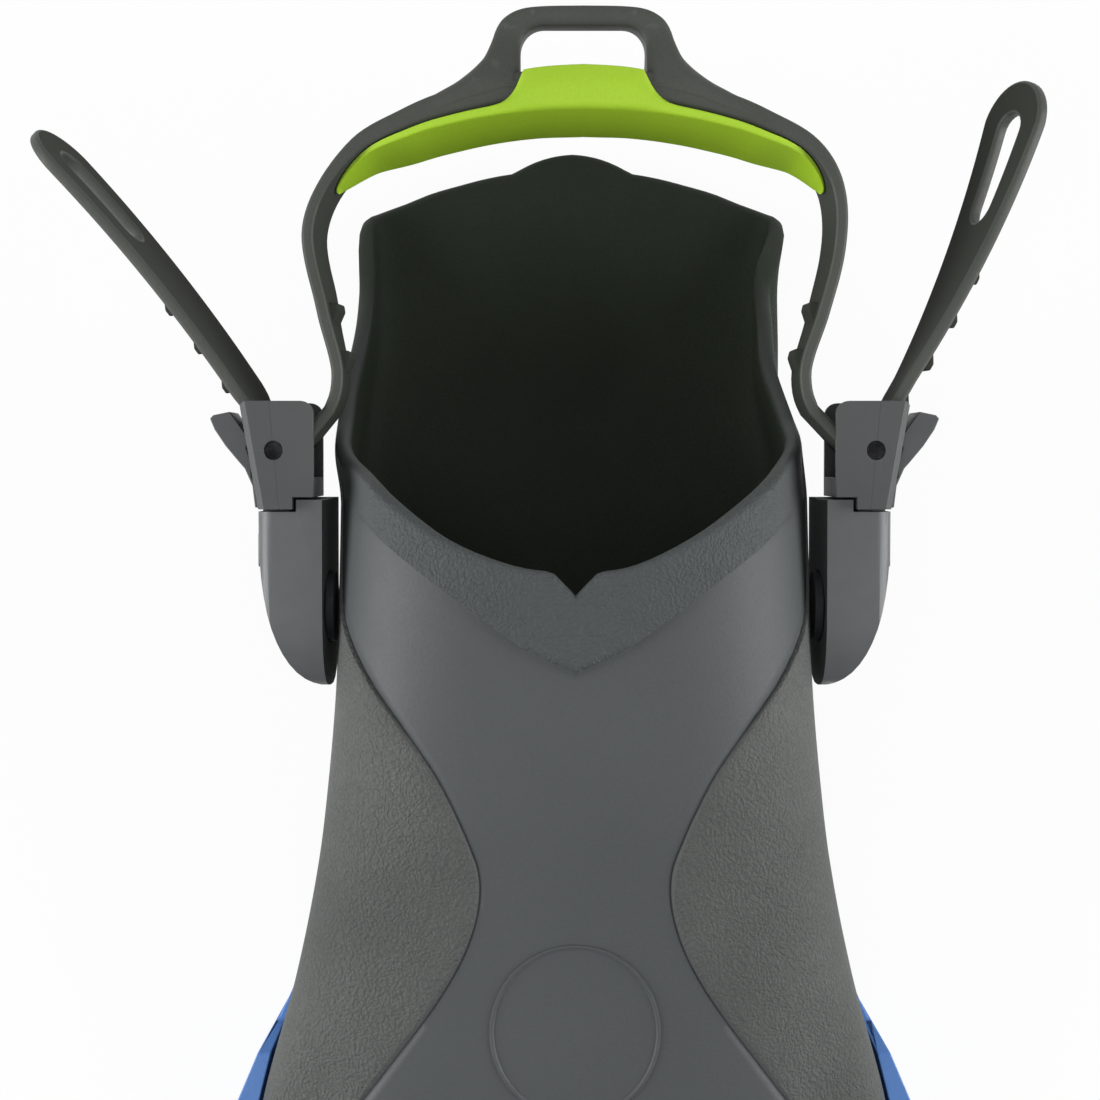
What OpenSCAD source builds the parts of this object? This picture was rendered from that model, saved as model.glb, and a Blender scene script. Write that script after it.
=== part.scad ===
// Open-heel swim fin with a sprung heel strap and quick-release buckles.
// Lies flat on its sole: +Y points to the heel, -Y to the blade tip, +X to the right, +Z up.
// The origin is on the sole, straight below the axis on which both buckles swivel.

/* [Foot pocket] */
// Distance from the swivel axis back to the heel edge
heel_reach = 119; // [108:1:142]
// Distance from the swivel axis forward to the toe of the foot pocket
toe_reach = 165; // [150:1:190]
// Outside width of the foot pocket at the buckles
mouth_w = 111; // [92:1:134]
// Outside width of the foot pocket at the heel
heel_w = 105; // [92:1:112]
// Width across the flared wings beside the toes
wing_w = 148.6; // [140:0.2:165]
// Height of the instep at the front of the mouth
instep_h = 72; // [62:1:86]
// Height of the toe end of the pocket
toe_h = 13; // [11:0.5:16]
// Height at which the pocket is widest at the mouth
side_h = 35; // [30:0.5:38]
// Thickness of the pocket wall
wall = 4; // [3:0.1:5]
// Thickness of the pocket floor
floor_t = 4; // [3:0.1:5]
// Depth of the raised band below the mouth, on the centreline
band_depth = 22.1; // [16:0.1:26]
// Height of the raised band
band_h = 0.9; // [0.4:0.1:1.5]
// Height of the grained side panels above the smooth middle
panel_h = 0.85; // [0.4:0.05:1.4]
// Half width of the notch in the front of the mouth
notch_half_w = 5.4; // [3.5:0.1:7]
// Depth of the notch in the front of the mouth
notch_depth = 4.8; // [2:0.1:6]

/* [Sole and blade] */
// Distance from the swivel axis forward to the blade tip
blade_reach = 358; // [290:1:430]
// Greatest width of the blade
blade_w = 205; // [190:1:246]
// Thickness of the blade and its foot plate
plate_t = 2.8; // [2:0.1:3.6]
// Thickness of the grip sole
sole_t = 3; // [2.4:0.1:4]
// Width of the grip sole
sole_w = 78; // [62:1:88]
// Spacing of the grooves across the sole
groove_pitch = 14; // [10:0.5:18]
// Width of a sole groove
groove_w = 2.4; // [1:0.1:4]
// Depth of a sole groove
groove_depth = 1.3; // [0.6:0.1:2]
// Width of a blade rail
rail_w = 6; // [4:0.1:8]
// Height of a blade rail at its root
rail_h = 13; // [9:0.1:16]
// Height of a blade rail at the tip
rail_tip_h = 7.5; // [6.5:0.1:9]
// Height of a stiffening rib above the blade
rib_h = 2; // [1:0.1:3]

/* [Heel strap] */
// Tilt of the strap and buckles above the sole
strap_pitch = 14; // [10:0.5:20]
// Distance from the swivel axis back to the strap's outer face at the heel
strap_reach = 124; // [114:1:146]
// Width of the strap band
strap_w = 22; // [18:0.5:26.5]
// Thickness of the strap band
strap_t = 2.8; // [2.3:0.1:3.4]
// Thickness of the strap beside the finger loop
strap_heel_t = 6.6; // [5:0.1:8]
// Free length of a strap tail behind its pin
tail_len = 93; // [78:1:108]
// Heading of the left tail as it leaves the buckle, from straight back
left_tail_start = 33; // [15:1:40]
// Heading of the left tail at its tip
left_tail_end = 44; // [20:1:50]
// Heading of the right tail as it leaves the buckle, from straight back
right_tail_start = 31; // [15:1:40]
// Heading of the right tail at its tip
right_tail_end = 17; // [10:1:50]
// Spacing of the ratchet teeth
tooth_pitch = 11.2; // [10:0.1:13.5]
// Length of a ratchet tooth
tooth_len = 6; // [4:0.1:7]
// Height of a ratchet tooth
tooth_h = 1.9; // [1.2:0.1:2.2]
// Width of a ratchet tooth
tooth_w = 14; // [10:0.5:16]
// Length of the finger slot in a tail
slot_len = 27; // [20:1:34]
// Width of the finger slot in a tail
slot_w = 8.5; // [7:0.1:11]
// Rubber left between the finger slot and the tip
slot_margin = 8; // [6:0.5:10]
// Width of the opening in the finger loop
loop_open_w = 28.6; // [24:0.1:34]
// Depth of the opening in the finger loop
loop_open_d = 11; // [9:0.1:13]
// Thickness of the finger loop's bar
loop_t = 4.6; // [4:0.1:7]
// Thickness of the finger loop's legs
loop_leg_t = 6; // [4:0.1:8]
// Height of the finger loop
loop_h = 10; // [8:0.5:16]
// Thickness of the heel pad
pad_t = 4.6; // [3:0.1:6]
// Height of the heel pad beyond the strap's edges
pad_over = 2; // [1.2:0.1:5]
// Length of the heel pad from the centreline to its end, along the strap
pad_half_len = 66; // [52:1:74]

/* [Buckles] */
// Height of the swivel axis above the floor
stud_h = 38; // [37:0.5:46]
// Radius of the swivel post
post_r = 5; // [4:0.1:6]
// Radius of the head that keeps the buckle on its post
post_head_r = 6.8; // [6:0.1:7.5]
// Thickness of the flange and of the head of the post
post_flange_t = 2.2; // [1.6:0.1:3]
// Width of a buckle body across the foot
pod_w = 15.1; // [14.5:0.1:18]
// Length of a buckle body ahead of the swivel axis
pod_nose = 18.6; // [16:0.1:22]
// Length of a buckle body behind the swivel axis
pod_rear = 22.4; // [19:0.1:26]
// Height of a buckle body
pod_h = 22; // [18.5:0.1:26]
// Length of the strap plug behind the buckle body
plug_len = 25; // [23.5:0.1:30]
// Height of the strap plug's cheeks over the strap
cheek_t = 2.3; // [1.6:0.1:3]
// Radius of the pin that the strap wraps round
pin_r = 2.15; // [1.7:0.05:2.6]
// Length of the tongue that clips into the buckle body
tongue_len = 18; // [15:0.1:21]
// Width of the tongue
tongue_w = 14; // [11:0.1:16]
// Thickness of the tongue
tongue_t = 2.2; // [1.8:0.1:2.5]
// Length of the release button
button_len = 8; // [6:0.1:9.5]
// Height of the release button
button_h = 7; // [5:0.1:8.5]
// Travel of the release button
button_travel = 1.5; // [1:0.1:1.6]
// Height of the ratchet lever
lever_h = 16; // [13:0.1:18]
// Radius of the ratchet lever's pivot pin
lever_pin_r = 1.1; // [0.9:0.05:1.3]
// Thickness of the lever's leaf spring
leaf_t = 0.5; // [0.4:0.05:0.7]

/* [Fits] */
// Radial clearance of a turning pin
running_fit = 0.06; // [0.02:0.01:0.1]
// Gap between pieces that slide or swing past each other
slide_gap = 0.3; // [0.2:0.05:0.5]
// Seam between moulded layers
seam = 0.1; // [0.05:0.05:0.2]
// Visible seam between the plug and the buckle body
plug_seam = 0.6; // [0.4:0.1:1.2]

/* [Hidden] */
left = -1;
right = 1;
$fn = 48;

rubber_grey = "#55585a";
strap_grey = "#464847";
hard_grey = "#5c5e5f";
pad_green = "#a5cd37";
blade_blue = "#4173b9";
steel = "#b9bcc0";

// Smooth curve through a table of [position, value] pairs.
function segment(t, v, i = 0) = i >= len(t) - 2 || v < t[i + 1][0] ? i : segment(t, v, i + 1);
function chord(t, i, k) = (t[k][1] - t[i][1]) / (t[k][0] - t[i][0]);
function slope(t, i) = chord(t, max(i - 1, 0), min(i + 1, len(t) - 1));
function curve(t, v) =
    let (i = segment(t, v), h = t[i + 1][0] - t[i][0], r = (v - t[i][0]) / h, q = 1 - r)
    t[i][1] * q * q * (1 + 2 * r) + t[i + 1][1] * r * r * (1 + 2 * q)
        + h * r * q * (slope(t, i) * q - slope(t, i + 1) * r);
function signed_power(v, e) = sign(v) * pow(abs(v), e);
function mirrored(points) = [for (i = [len(points) - 1:-1:0]) [-points[i][0], points[i][1]]];

// Outside half width, top height and widest height of the pocket along its length.
pocket_base = sole_t + plate_t + 2 * seam;
half_mouth = mouth_w / 2;
half_heel = heel_w / 2;
half_wing = wing_w / 2;
toe_cap_half_w = 22;
half_width_table = [[-toe_reach, toe_cap_half_w], [-toe_reach + 7, toe_cap_half_w + 20],
    [-toe_reach + 20, half_wing - 14], [-toe_reach + 35, half_wing - 3], [-toe_reach + 49, half_wing],
    [-toe_reach + 80, half_wing - 8.9], [-60, half_mouth + 4.6], [-40, half_mouth + 2],
    [-20, half_mouth + 0.4], [0, half_mouth], [44, half_mouth - 0.3], [75, half_heel + 1.4],
    [heel_reach - 13, half_heel + 0.9], [heel_reach + 6, half_heel - 0.5]];
top_table = [[-toe_reach, toe_h], [-toe_reach + 20, toe_h + 10], [-toe_reach + 49, toe_h + 22],
    [-80, instep_h - 25], [-40, instep_h - 11], [0, instep_h], [20, instep_h + 4],
    [heel_reach + 6, instep_h + 18]];
widest_table = [[-toe_reach, toe_h - 3.5], [-toe_reach + 49, toe_h - 1], [-80, side_h - 14],
    [-30, side_h - 1.5], [0, side_h], [heel_reach + 6, side_h]];
top_roundness = 2.3;
base_roundness = 9;

// Edge of the mouth: angle from the top of the section against distance behind the swivel axis.
strap_drop = strap_w / 2 - 11;
rim_table = [[0, 1.2], [12, 2.4], [22.5, 5.7], [31.5, 9.9], [39.3, 14.9], [49.7, 21.8], [61, 29],
    [75, 35.6 - strap_drop], [90, 43 - strap_drop], [100, 51.4 - strap_drop], [114, 66], [120, 76],
    [123.5, heel_reach - 31], [126, heel_reach - 21.2], [129, heel_reach - 15.6], [135, heel_reach - 12.6],
    [140, heel_reach - 9.9], [145, heel_reach - 6.8], [150, heel_reach - 4.7], [157, heel_reach - 2.3],
    [165, heel_reach - 0.7], [180, heel_reach]];
heel_bump = 4.5;
heel_bump_half_w = 16.2;
// Depth of the raised band below the mouth's edge, narrowing from the centreline to the sides.
band_table = [[0, band_depth], [10, band_depth - 3.6], [20, band_depth - 7.3], [30, band_depth - 10.4],
    [45, band_depth - 11.4], [180, band_depth - 14]];

function roundness(a) = cos(a) >= 0 ? top_roundness : base_roundness;
function radius_at(a) = pow(pow(abs(sin(a)), roundness(a)) + pow(abs(cos(a)), roundness(a)), -1 / roundness(a));
function section_x(a, w) = w * sin(a) * radius_at(a);
function section_z(a, low, mid, high) = mid + (cos(a) >= 0 ? high - mid : mid - low) * cos(a) * radius_at(a);
function folded(a) = a > 180 ? 360 - a : a;
function notch_at(x) = notch_depth * max(0, 1 - abs(x) / notch_half_w);
function bump_at(x) = heel_bump * max(0, 1 - pow(x / heel_bump_half_w, 2));
function mouth_y(a) = curve(rim_table, folded(a));
function rim_y(a) = let (f = folded(a), x = section_x(a, half_mouth))
    mouth_y(a) - (f < 90 ? notch_at(x) : 0) + (f > 90 ? bump_at(x) : 0);
function band_y(a) = mouth_y(a) - curve(band_table, folded(a));
function band_weight(a) = max(0, min(1, (62 - folded(a)) / 12));

function outer_point(a, y, lift) = [section_x(a, curve(half_width_table, y) + lift), y,
    section_z(a, pocket_base, curve(widest_table, y), curve(top_table, y) + lift)];

// The foot's own space, closed ahead of the toes.
cavity_reach = toe_reach - 23;
cavity_table = [[-cavity_reach, 20], [-cavity_reach + 8, 36], [-cavity_reach + 22, 44],
    [-90, half_mouth - 8], [-40, half_mouth - wall], [0, half_mouth - wall], [44, half_mouth - wall - 0.3],
    [75, half_heel + 1.4 - wall], [heel_reach - 13, half_heel + 0.9 - wall], [heel_reach + 6, half_heel - wall]];
cavity_base = pocket_base + floor_t;
function inner_point(a, y) = let (high = curve(top_table, y) - wall)
    [section_x(a, curve(cavity_table, y)), y,
     section_z(a, cavity_base, max(curve(widest_table, y), cavity_base + 2), high)];

// Edge of the side panels, as a share of the pocket's half width, and the angle at which it lies.
panel_share_table = [[-toe_reach, 0.99], [-toe_reach + 19, 0.98], [-toe_reach + 37, 0.85], [-toe_reach + 51, 0.67],
    [-toe_reach + 63, 0.555], [-toe_reach + 74, 0.46], [-toe_reach + 83, 0.395], [-toe_reach + 91, 0.36],
    [-toe_reach + 98, 0.355], [-toe_reach + 104, 0.38], [-44, 0.535], [-32, 0.69], [-21, 0.835], [-11, 0.93],
    [-3, 0.975], [8, 0.99], [heel_reach + 6, 0.99]];
function share_angle(v) = atan(v / pow(1 - pow(v, top_roundness), 1 / top_roundness));
function panel_angle(y) = share_angle(min(0.995, curve(panel_share_table, y)));

// Columns of points round half a section. The step between two of them follows the panel's edge.
middle_columns = 8;
side_columns = 19;
step_from = 44.2;
step_to = 45.8;
half_columns = concat([for (i = [0:middle_columns]) step_from * pow(i / middle_columns, 1.5)],
    [for (i = [0:side_columns]) step_to + (180 - step_to) * i / side_columns]);
around = 2 * (len(half_columns) - 1);
function turned(column, y) = let (edge = panel_angle(y))
    column < 45 ? edge * column / 45 : edge + (180 - edge) * (column - 45) / 135;

// Rings from the toe over the band to the rim, then back along the inside.
outer_steps = 24;
inner_steps = 16;
band_edge_w = 0.9;
toe_crowding = 1.35;
ring_count = outer_steps + inner_steps + 5;
function along(i, n, from, to) = from + (to - from) * pow(i / n, toe_crowding);
function ring_y(i, a) = let (band_row = i - outer_steps, inner_row = band_row - 4)
    band_row <= 0 ? along(i, outer_steps, -toe_reach, band_y(a) - band_edge_w)
    : band_row <= 3 ? band_y(a) + (rim_y(a) - band_y(a)) * (band_row - 1) / 2
    : along(inner_steps - inner_row, inner_steps, -cavity_reach, rim_y(a));
// A point's angle and distance depend on each other, so they are settled in a few rounds.
function settled(i, column, a, rounds = 6) = rounds == 0 ? a
    : settled(i, column, turned(column, ring_y(i, a)), rounds - 1);
function panel_lift(column, a, y) = let (clear = max(0, min(1, (rim_y(a) - y - 2) / 7)))
    clear * panel_h / 2 * (column < 45 ? -1 : max(0, min(1, (86 - a) / 18)));
function ring_point(i, column) = let (a = settled(i, column, column), y = ring_y(i, a))
    i > outer_steps + 3 ? inner_point(a, y)
    : outer_point(a, y, i > outer_steps ? band_h * band_weight(a) : panel_lift(column, a, y));
function ring(i) = let (half = [for (column = half_columns) ring_point(i, column)], n = len(half))
    concat(half, [for (k = [n - 2:-1:1]) [-half[k][0], half[k][1], half[k][2]]]);

// Two triangles for each cell between neighbouring rings, split along the shorter way across,
// and a flat fan on each end ring.
function cell_faces(points, a, b, c, d) = norm(points[a] - points[c]) < norm(points[b] - points[d])
    ? [[a, b, c], [a, c, d]] : [[a, b, d], [b, c, d]];
function ring_faces(points, n) = let (rings = len(points) / n) concat(
    [for (j = [0:rings - 2], i = [0:n - 1]) let (k = (i + 1) % n, low = j * n, high = low + n)
        each cell_faces(points, low + i, high + i, high + k, low + k)],
    [for (i = [1:n - 2]) [0, i, i + 1]],
    [for (i = [1:n - 2]) let (end = (rings - 1) * n) [end, end + i + 1, end + i]]);
pocket_points = [for (i = [0:ring_count - 1]) each ring(i)];

module foot_pocket() {
    color(rubber_grey)
        polyhedron(pocket_points, ring_faces(pocket_points, around), 4);
}

// Blade, foot plate and side rails are one moulding. The edge appears beside the pocket's wings.
root_y = -toe_reach + 84;
half_blade = blade_w / 2;
blade_edge_table = [[-blade_reach, half_blade], [-blade_reach + 90, half_blade],
    [-toe_reach - 35, half_blade - 5], [-toe_reach + 15, half_wing + 17], [-toe_reach + 49, half_wing + 5.5],
    [root_y, half_wing - 9.5]];
tip_corner = 30;
tip_bow = 9;
edge_steps = 16;
tip_steps = 8;
plate_half_w = sole_w / 2 - 2;
plate_heel_y = heel_reach - 14;
function edge_x(y) = curve(blade_edge_table, y);
straight_end = -blade_reach + tip_bow + tip_corner;
blade_side = [for (i = [0:edge_steps]) let (y = root_y + (straight_end - root_y) * i / edge_steps) [edge_x(y), y]];
tip_arc = [for (i = [1:tip_steps]) let (a = 90 * i / tip_steps)
    [half_blade - tip_corner * (1 - cos(a)), straight_end - tip_corner * sin(a)]];
tip_half_w = half_blade - tip_corner;
tip_curve = [for (i = [1:tip_steps - 1]) let (r = 1 - i / tip_steps)
    [tip_half_w * r, -blade_reach + tip_bow * r * r]];
plate_round = 24;
plate_heel = [for (a = [90:-15:0])
    [plate_half_w - plate_round * (1 - cos(a)), plate_heel_y - plate_round * (1 - sin(a))]];
blade_half_outline = concat(plate_heel, [[plate_half_w, root_y + 30]], blade_side, tip_arc, tip_curve);
blade_low = sole_t + seam;
blade_high = blade_low + plate_t;

// Inside edge of a rail: clear of the pocket's wing, then a steady width in from the blade edge.
wing_gap = 0.7;
rail_lip = 0.6;
function rail_inner_x(y) = max(y > -toe_reach ? curve(half_width_table, y) + wing_gap : 0, edge_x(y) - rail_w);
rail_root_y = root_y - 7;
rail_tip_y = straight_end - 2;
rail_ys = [for (i = [0:edge_steps]) rail_root_y + (rail_tip_y - rail_root_y) * i / edge_steps];
rail_outline = concat([for (y = rail_ys) [edge_x(y) + rail_lip, y]],
    [for (i = [edge_steps:-1:0]) [rail_inner_x(rail_ys[i]), rail_ys[i]]]);
rail_slope = atan((rail_h - rail_tip_h) / (rail_root_y - rail_tip_y));
rail_root_rake = 50;
rail_tip_rake = 30;
rail_tip_nose = 4;
rib_xs = [24, 56];
rib_w = 4;
rib_start_y = -toe_reach - 14;
rib_end_y = -blade_reach + 46;

module blade() {
    color(blade_blue) {
        translate([0, 0, blade_low]) linear_extrude(plate_t)
            polygon(concat(blade_half_outline, [[0, -blade_reach]], mirrored(blade_half_outline)));
        for (side = [left, right]) mirror([side < 0 ? 1 : 0, 0, 0]) {
            difference() {
                linear_extrude(rail_h) polygon(rail_outline);
                translate([0, rail_root_y, rail_h]) rotate([rail_slope, 0, 0])
                    translate([0, -2 * blade_reach, 0]) cube([blade_w, 2 * blade_reach, rail_h]);
                translate([0, rail_root_y, 0]) rotate([rail_root_rake, 0, 0]) cube([blade_w, rail_h, 3 * rail_h]);
                translate([0, rail_tip_y, rail_tip_nose]) rotate([rail_tip_rake, 0, 0])
                    translate([0, -rail_h, 0]) cube([blade_w, 4 * rail_h, 2 * rail_h]);
            }
            for (x = rib_xs) translate([0, 0, blade_high - seam])
                linear_extrude(rib_h + seam) polygon([[x - rib_w / 2, rib_start_y], [x + rib_w / 2, rib_start_y],
                    [x * 1.12 + rib_w / 4, rib_end_y], [x * 1.12 - rib_w / 4, rib_end_y]]);
        }
    }
}

sole_heel_y = heel_reach - 18;
sole_toe_y = root_y + 6;
sole_round = 26;
groove_count = floor((sole_heel_y - sole_toe_y) / groove_pitch / 2 - 1);

module outsole() {
    color(rubber_grey) difference() {
        union() {
            translate([-sole_w / 2, sole_toe_y + sole_round, 0])
                cube([sole_w, sole_heel_y - sole_toe_y - 2 * sole_round, sole_t]);
            for (y = [sole_toe_y + sole_round, sole_heel_y - sole_round]) {
                translate([sole_round - sole_w / 2, y, 0]) cylinder(r = sole_round, h = sole_t);
                translate([sole_w / 2 - sole_round, y, 0]) cylinder(r = sole_round, h = sole_t);
                translate([sole_round - sole_w / 2, y - sole_round, 0])
                    cube([sole_w - 2 * sole_round, 2 * sole_round, sole_t]);
            }
        }
        for (i = [-groove_count:groove_count]) translate([-sole_w, (i + 0.5) * groove_pitch - groove_w / 2, -1])
            cube([2 * sole_w, groove_w, groove_depth + 1]);
    }
}

// Buckle places across the foot, measured out from the pocket's side.
wall_gap = 0.45;
post_in = half_mouth + wall_gap;
pod_in = post_in + post_flange_t + slide_gap;
pod_out = pod_in + pod_w;
pod_wall = 2.8;
head_recess = post_flange_t + 2 * slide_gap;
post_flange_r = post_head_r + 1.4;
slot_in = pod_in + pod_wall + head_recess + 1.6;
slot_t = tongue_t + 2 * slide_gap;
slot_out = slot_in + slot_t;
pod_seam_step = 2.8;
pod_step_u = pod_in + 6;
pod_nose_roundness = 2.3;
pod_side_roundness = 2.8;
pod_nose_h_len = 20;
pod_edge_r = 4;
pod_draft = 2.1;
pod_foot = pod_in - pod_draft;
lap = plug_seam - 2 * seam;
lap_top = -2.5;
pod_steps = 14;

module in_strap_plane(side) {
    translate([0, 0, stud_h]) rotate([strap_pitch, 0, 0]) mirror([side < 0 ? 1 : 0, 0, 0]) children();
}
// Lays a profile drawn in (back, up) across the foot.
module across(from, to) {
    translate([from, 0, 0]) rotate([90, 0, 90]) linear_extrude(to - from) children();
}
// Runs a profile drawn in (out, up) along the strap.
module lengthwise(length) {
    rotate([90, 0, 0]) linear_extrude(length, center = true) children();
}
function bulge(a, n) = [signed_power(cos(a), 2 / n), signed_power(sin(a), 2 / n)];

module buckle_post(side) {
    color(hard_grey) mirror([side < 0 ? 1 : 0, 0, 0]) translate([0, 0, stud_h]) rotate([0, 90, 0]) {
        translate([0, 0, post_in]) cylinder(r = post_flange_r, h = post_flange_t);
        translate([0, 0, post_in])
            cylinder(r = post_r, h = pod_in + pod_wall + slide_gap + post_flange_t - post_in);
        translate([0, 0, pod_in + pod_wall + slide_gap]) cylinder(r = post_head_r, h = post_flange_t);
    }
}

function pod_plan(lap) = concat([[pod_foot, pod_rear + pod_seam_step + lap], [pod_foot, -pod_nose]],
    [for (i = [1:pod_steps]) let (b = bulge(270 + 90 * i / pod_steps, pod_nose_roundness))
        [pod_foot + (pod_w + pod_draft) * b[0], pod_rear + (pod_rear + pod_nose) * b[1]]],
    [[pod_out, pod_rear + lap], [pod_step_u + lap, pod_rear + lap],
     [pod_step_u + lap, pod_rear + pod_seam_step + lap]]);
pod_side = concat([[pod_rear + pod_seam_step + plug_seam, pod_h / 2]],
    [for (i = [0:pod_steps]) let (b = bulge(90 + 180 * i / pod_steps, pod_side_roundness))
        [-pod_nose + pod_nose_h_len + pod_nose_h_len * b[0], pod_h / 2 * b[1]]],
    [[pod_rear + pod_seam_step + plug_seam, -pod_h / 2]]);
pod_front = concat([[pod_foot, -pod_h / 2]],
    [for (a = [-90:15:0]) [pod_out + pod_edge_r * (cos(a) - 1), -pod_h / 2 + pod_edge_r * (1 + sin(a))]],
    [for (a = [0:15:90]) [pod_out + pod_edge_r * (cos(a) - 1), pod_h / 2 - pod_edge_r * (1 - sin(a))]],
    [[pod_in, pod_h / 2]]);
button_p = pod_rear - 9;
button_flange = 1;
button_lip = 1;
button_in = slot_out + button_travel;
button_recess = button_in + button_flange + slide_gap;
button_proud = 0.5;

module buckle_body(side) {
    color(hard_grey) in_strap_plane(side) difference() {
        intersection() {
            union() {
                linear_extrude(pod_h, center = true) polygon(pod_plan(0));
                translate([0, 0, -pod_h / 2]) linear_extrude(pod_h / 2 + lap_top) polygon(pod_plan(lap));
            }
            across(pod_foot - 1, pod_out + 1) polygon(pod_side);
            lengthwise(4 * pod_h) polygon(pod_front);
        }
        rotate([0, 90, 0]) translate([0, 0, pod_in - 1]) cylinder(r = post_r + running_fit, h = pod_wall + 2);
        rotate([0, 90, 0]) translate([0, 0, pod_foot - 1]) cylinder(r = post_flange_r + slide_gap, h = pod_draft + 1);
        rotate([0, 90, 0]) translate([0, 0, pod_in + pod_wall])
            cylinder(r = post_head_r + slide_gap, h = head_recess);
        translate([slot_in, pod_rear - tongue_len - slide_gap, -tongue_w / 2 - slide_gap])
            cube([slot_t, tongue_len + 10, tongue_w + 2 * slide_gap]);
        translate([slot_out - 0.1, button_p - button_len / 2 - button_lip - slide_gap,
                   -button_h / 2 - button_lip - slide_gap])
            cube([button_recess - slot_out + 0.1, button_len + 2 * (button_lip + slide_gap),
                  button_h + 2 * (button_lip + slide_gap)]);
        translate([button_recess - 0.1, button_p - button_len / 2 - slide_gap, -button_h / 2 - slide_gap])
            cube([pod_w, button_len + 2 * slide_gap, button_h + 2 * slide_gap]);
    }
}

module release_button(side) {
    color(hard_grey) in_strap_plane(side) {
        translate([button_in, button_p - button_len / 2 - button_lip, -button_h / 2 - button_lip])
            cube([button_flange, button_len + 2 * button_lip, button_h + 2 * button_lip]);
        translate([button_in, button_p - button_len / 2, -button_h / 2])
            cube([pod_out - button_in + button_proud, button_len, button_h]);
    }
}

// Strap plug: a front block and two cheeks that hold the strap's pin and the lever's pin.
plug_front = pod_rear + plug_seam;
plug_rear = plug_front + plug_len;
plug_in = pod_in + 1.7;
plug_splay = 4.2;
plug_out = pod_out - 0.5;
plug_corner = 3;
plug_bevel = 1.4;
cheek_gap = strap_w + 2 * slide_gap;
plug_h = cheek_gap + 2 * cheek_t;
wrap_r = pin_r + slide_gap + strap_t / 2;
pin_u = pod_in + 10.9;
pin_p = plug_front + 13.6;
block_p = pin_p - wrap_r - strap_t / 2 - 1;
lever_u = plug_out - 0.9;
lever_p = plug_front + 4.4;
knuckle_r = lever_pin_r + 1.4;
lever_window = lever_h + 2 * slide_gap;
pin_recess = 1.2;
lever_pin_seat = 3.4;
heel_room = 1.6;

module plug_plan() {
    polygon(concat(
        [[pod_step_u + plug_seam, plug_front], [plug_out, plug_front], [plug_out + plug_splay, plug_rear - 1],
         [plug_out + plug_splay - 1, plug_rear]],
        [for (a = [90:15:180]) [plug_in + plug_corner * (1 + cos(a)), plug_rear - plug_corner * (1 - sin(a))]],
        [[plug_in, plug_front + pod_seam_step], [pod_step_u + plug_seam, plug_front + pod_seam_step]]));
}

module strap_plug(side) {
    color(hard_grey) in_strap_plane(side) difference() {
        union() {
            linear_extrude(plug_h, center = true) plug_plan();
            translate([slot_in + slide_gap, pod_rear - tongue_len, -tongue_w / 2])
                cube([tongue_t, tongue_len + plug_seam + 1, tongue_w]);
        }
        for (flip = [0, 1]) mirror([0, 0, flip]) translate([plug_out, plug_front, plug_h / 2 - plug_bevel])
            rotate([0, 0, -atan(plug_splay / (plug_len - 1))]) rotate([0, -45, 0])
                translate([0, -plug_len, 0]) cube([plug_len, 3 * plug_len, plug_len]);
        translate([plug_in - 5, block_p, -cheek_gap / 2]) cube([plug_len + 10, plug_len, cheek_gap]);
        translate([pin_u, pin_p, -plug_h]) cylinder(r = pin_r + running_fit, h = 2 * plug_h);
        translate([lever_u, lever_p, -plug_h])
            cylinder(r = lever_pin_r + running_fit, h = plug_h + lever_window / 2 + lever_pin_seat);
        translate([lever_u, lever_p, -lever_window / 2]) cylinder(r = knuckle_r + slide_gap, h = lever_window);
        translate([lever_u - heel_room, plug_front - 1, -lever_window / 2])
            cube([plug_len, plug_len, lever_window]);
        translate([leaf_u - leaf_t, leaf_p - leaf_t, -lever_window / 2])
            cube([lever_u - leaf_u + 1, 2.6, lever_window]);
    }
}

module strap_pin(side) {
    color(steel) in_strap_plane(side)
        translate([pin_u, pin_p, -plug_h / 2 + pin_recess]) cylinder(r = pin_r, h = plug_h - 2 * pin_recess);
}

module lever_pin(side) {
    color(steel) in_strap_plane(side)
        translate([lever_u, lever_p, -plug_h / 2 + pin_recess / 2])
            cylinder(r = lever_pin_r, h = (plug_h - pin_recess + lever_window) / 2 + lever_pin_seat - running_fit);
}

// Ratchet lever: knuckle, arm along the strap tail, pawl between two teeth and a thumb tab.
tail_u = pin_u + wrap_r;
tail_face = tail_u + strap_t / 2;
pawl_gap = 0.5;
arm_in = tail_face + slide_gap + 0.1;
tab_u = plug_out + 11.6;
tab_p = plug_rear - 4;
first_tooth = 4.9;
pawl_p = pin_p + first_tooth - slide_gap;
lever_outline = [[lever_u + 0.2, plug_front + 0.3], [plug_out + 1.2, plug_front + 0.3],
    [lever_u + knuckle_r + 0.2, lever_p + 1], [arm_in + 1.6, lever_p + 5], [arm_in + 3, pin_p - 2.6],
    [arm_in + 6, pin_p + 1], [tab_u - 1.1, tab_p - 2.6], [tab_u, tab_p], [tab_u - 0.8, tab_p + 0.8],
    [arm_in + 5, plug_rear - 2.4], [arm_in + 1.6, pawl_p - 0.4], [tail_face + pawl_gap, pawl_p],
    [tail_face + pawl_gap, pawl_p - 1], [arm_in + 1.2, pawl_p - 4], [arm_in, pin_p - 3],
    [arm_in, lever_p + 3], [lever_u + 0.2, lever_p]];

module ratchet_lever(side) {
    color(hard_grey) in_strap_plane(side) difference() {
        union() {
            translate([lever_u, lever_p, -lever_h / 2]) cylinder(r = knuckle_r, h = lever_h);
            linear_extrude(lever_h, center = true) polygon(lever_outline);
        }
        translate([lever_u, lever_p, -lever_h]) cylinder(r = lever_pin_r + running_fit, h = 2 * lever_h);
    }
}

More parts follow.
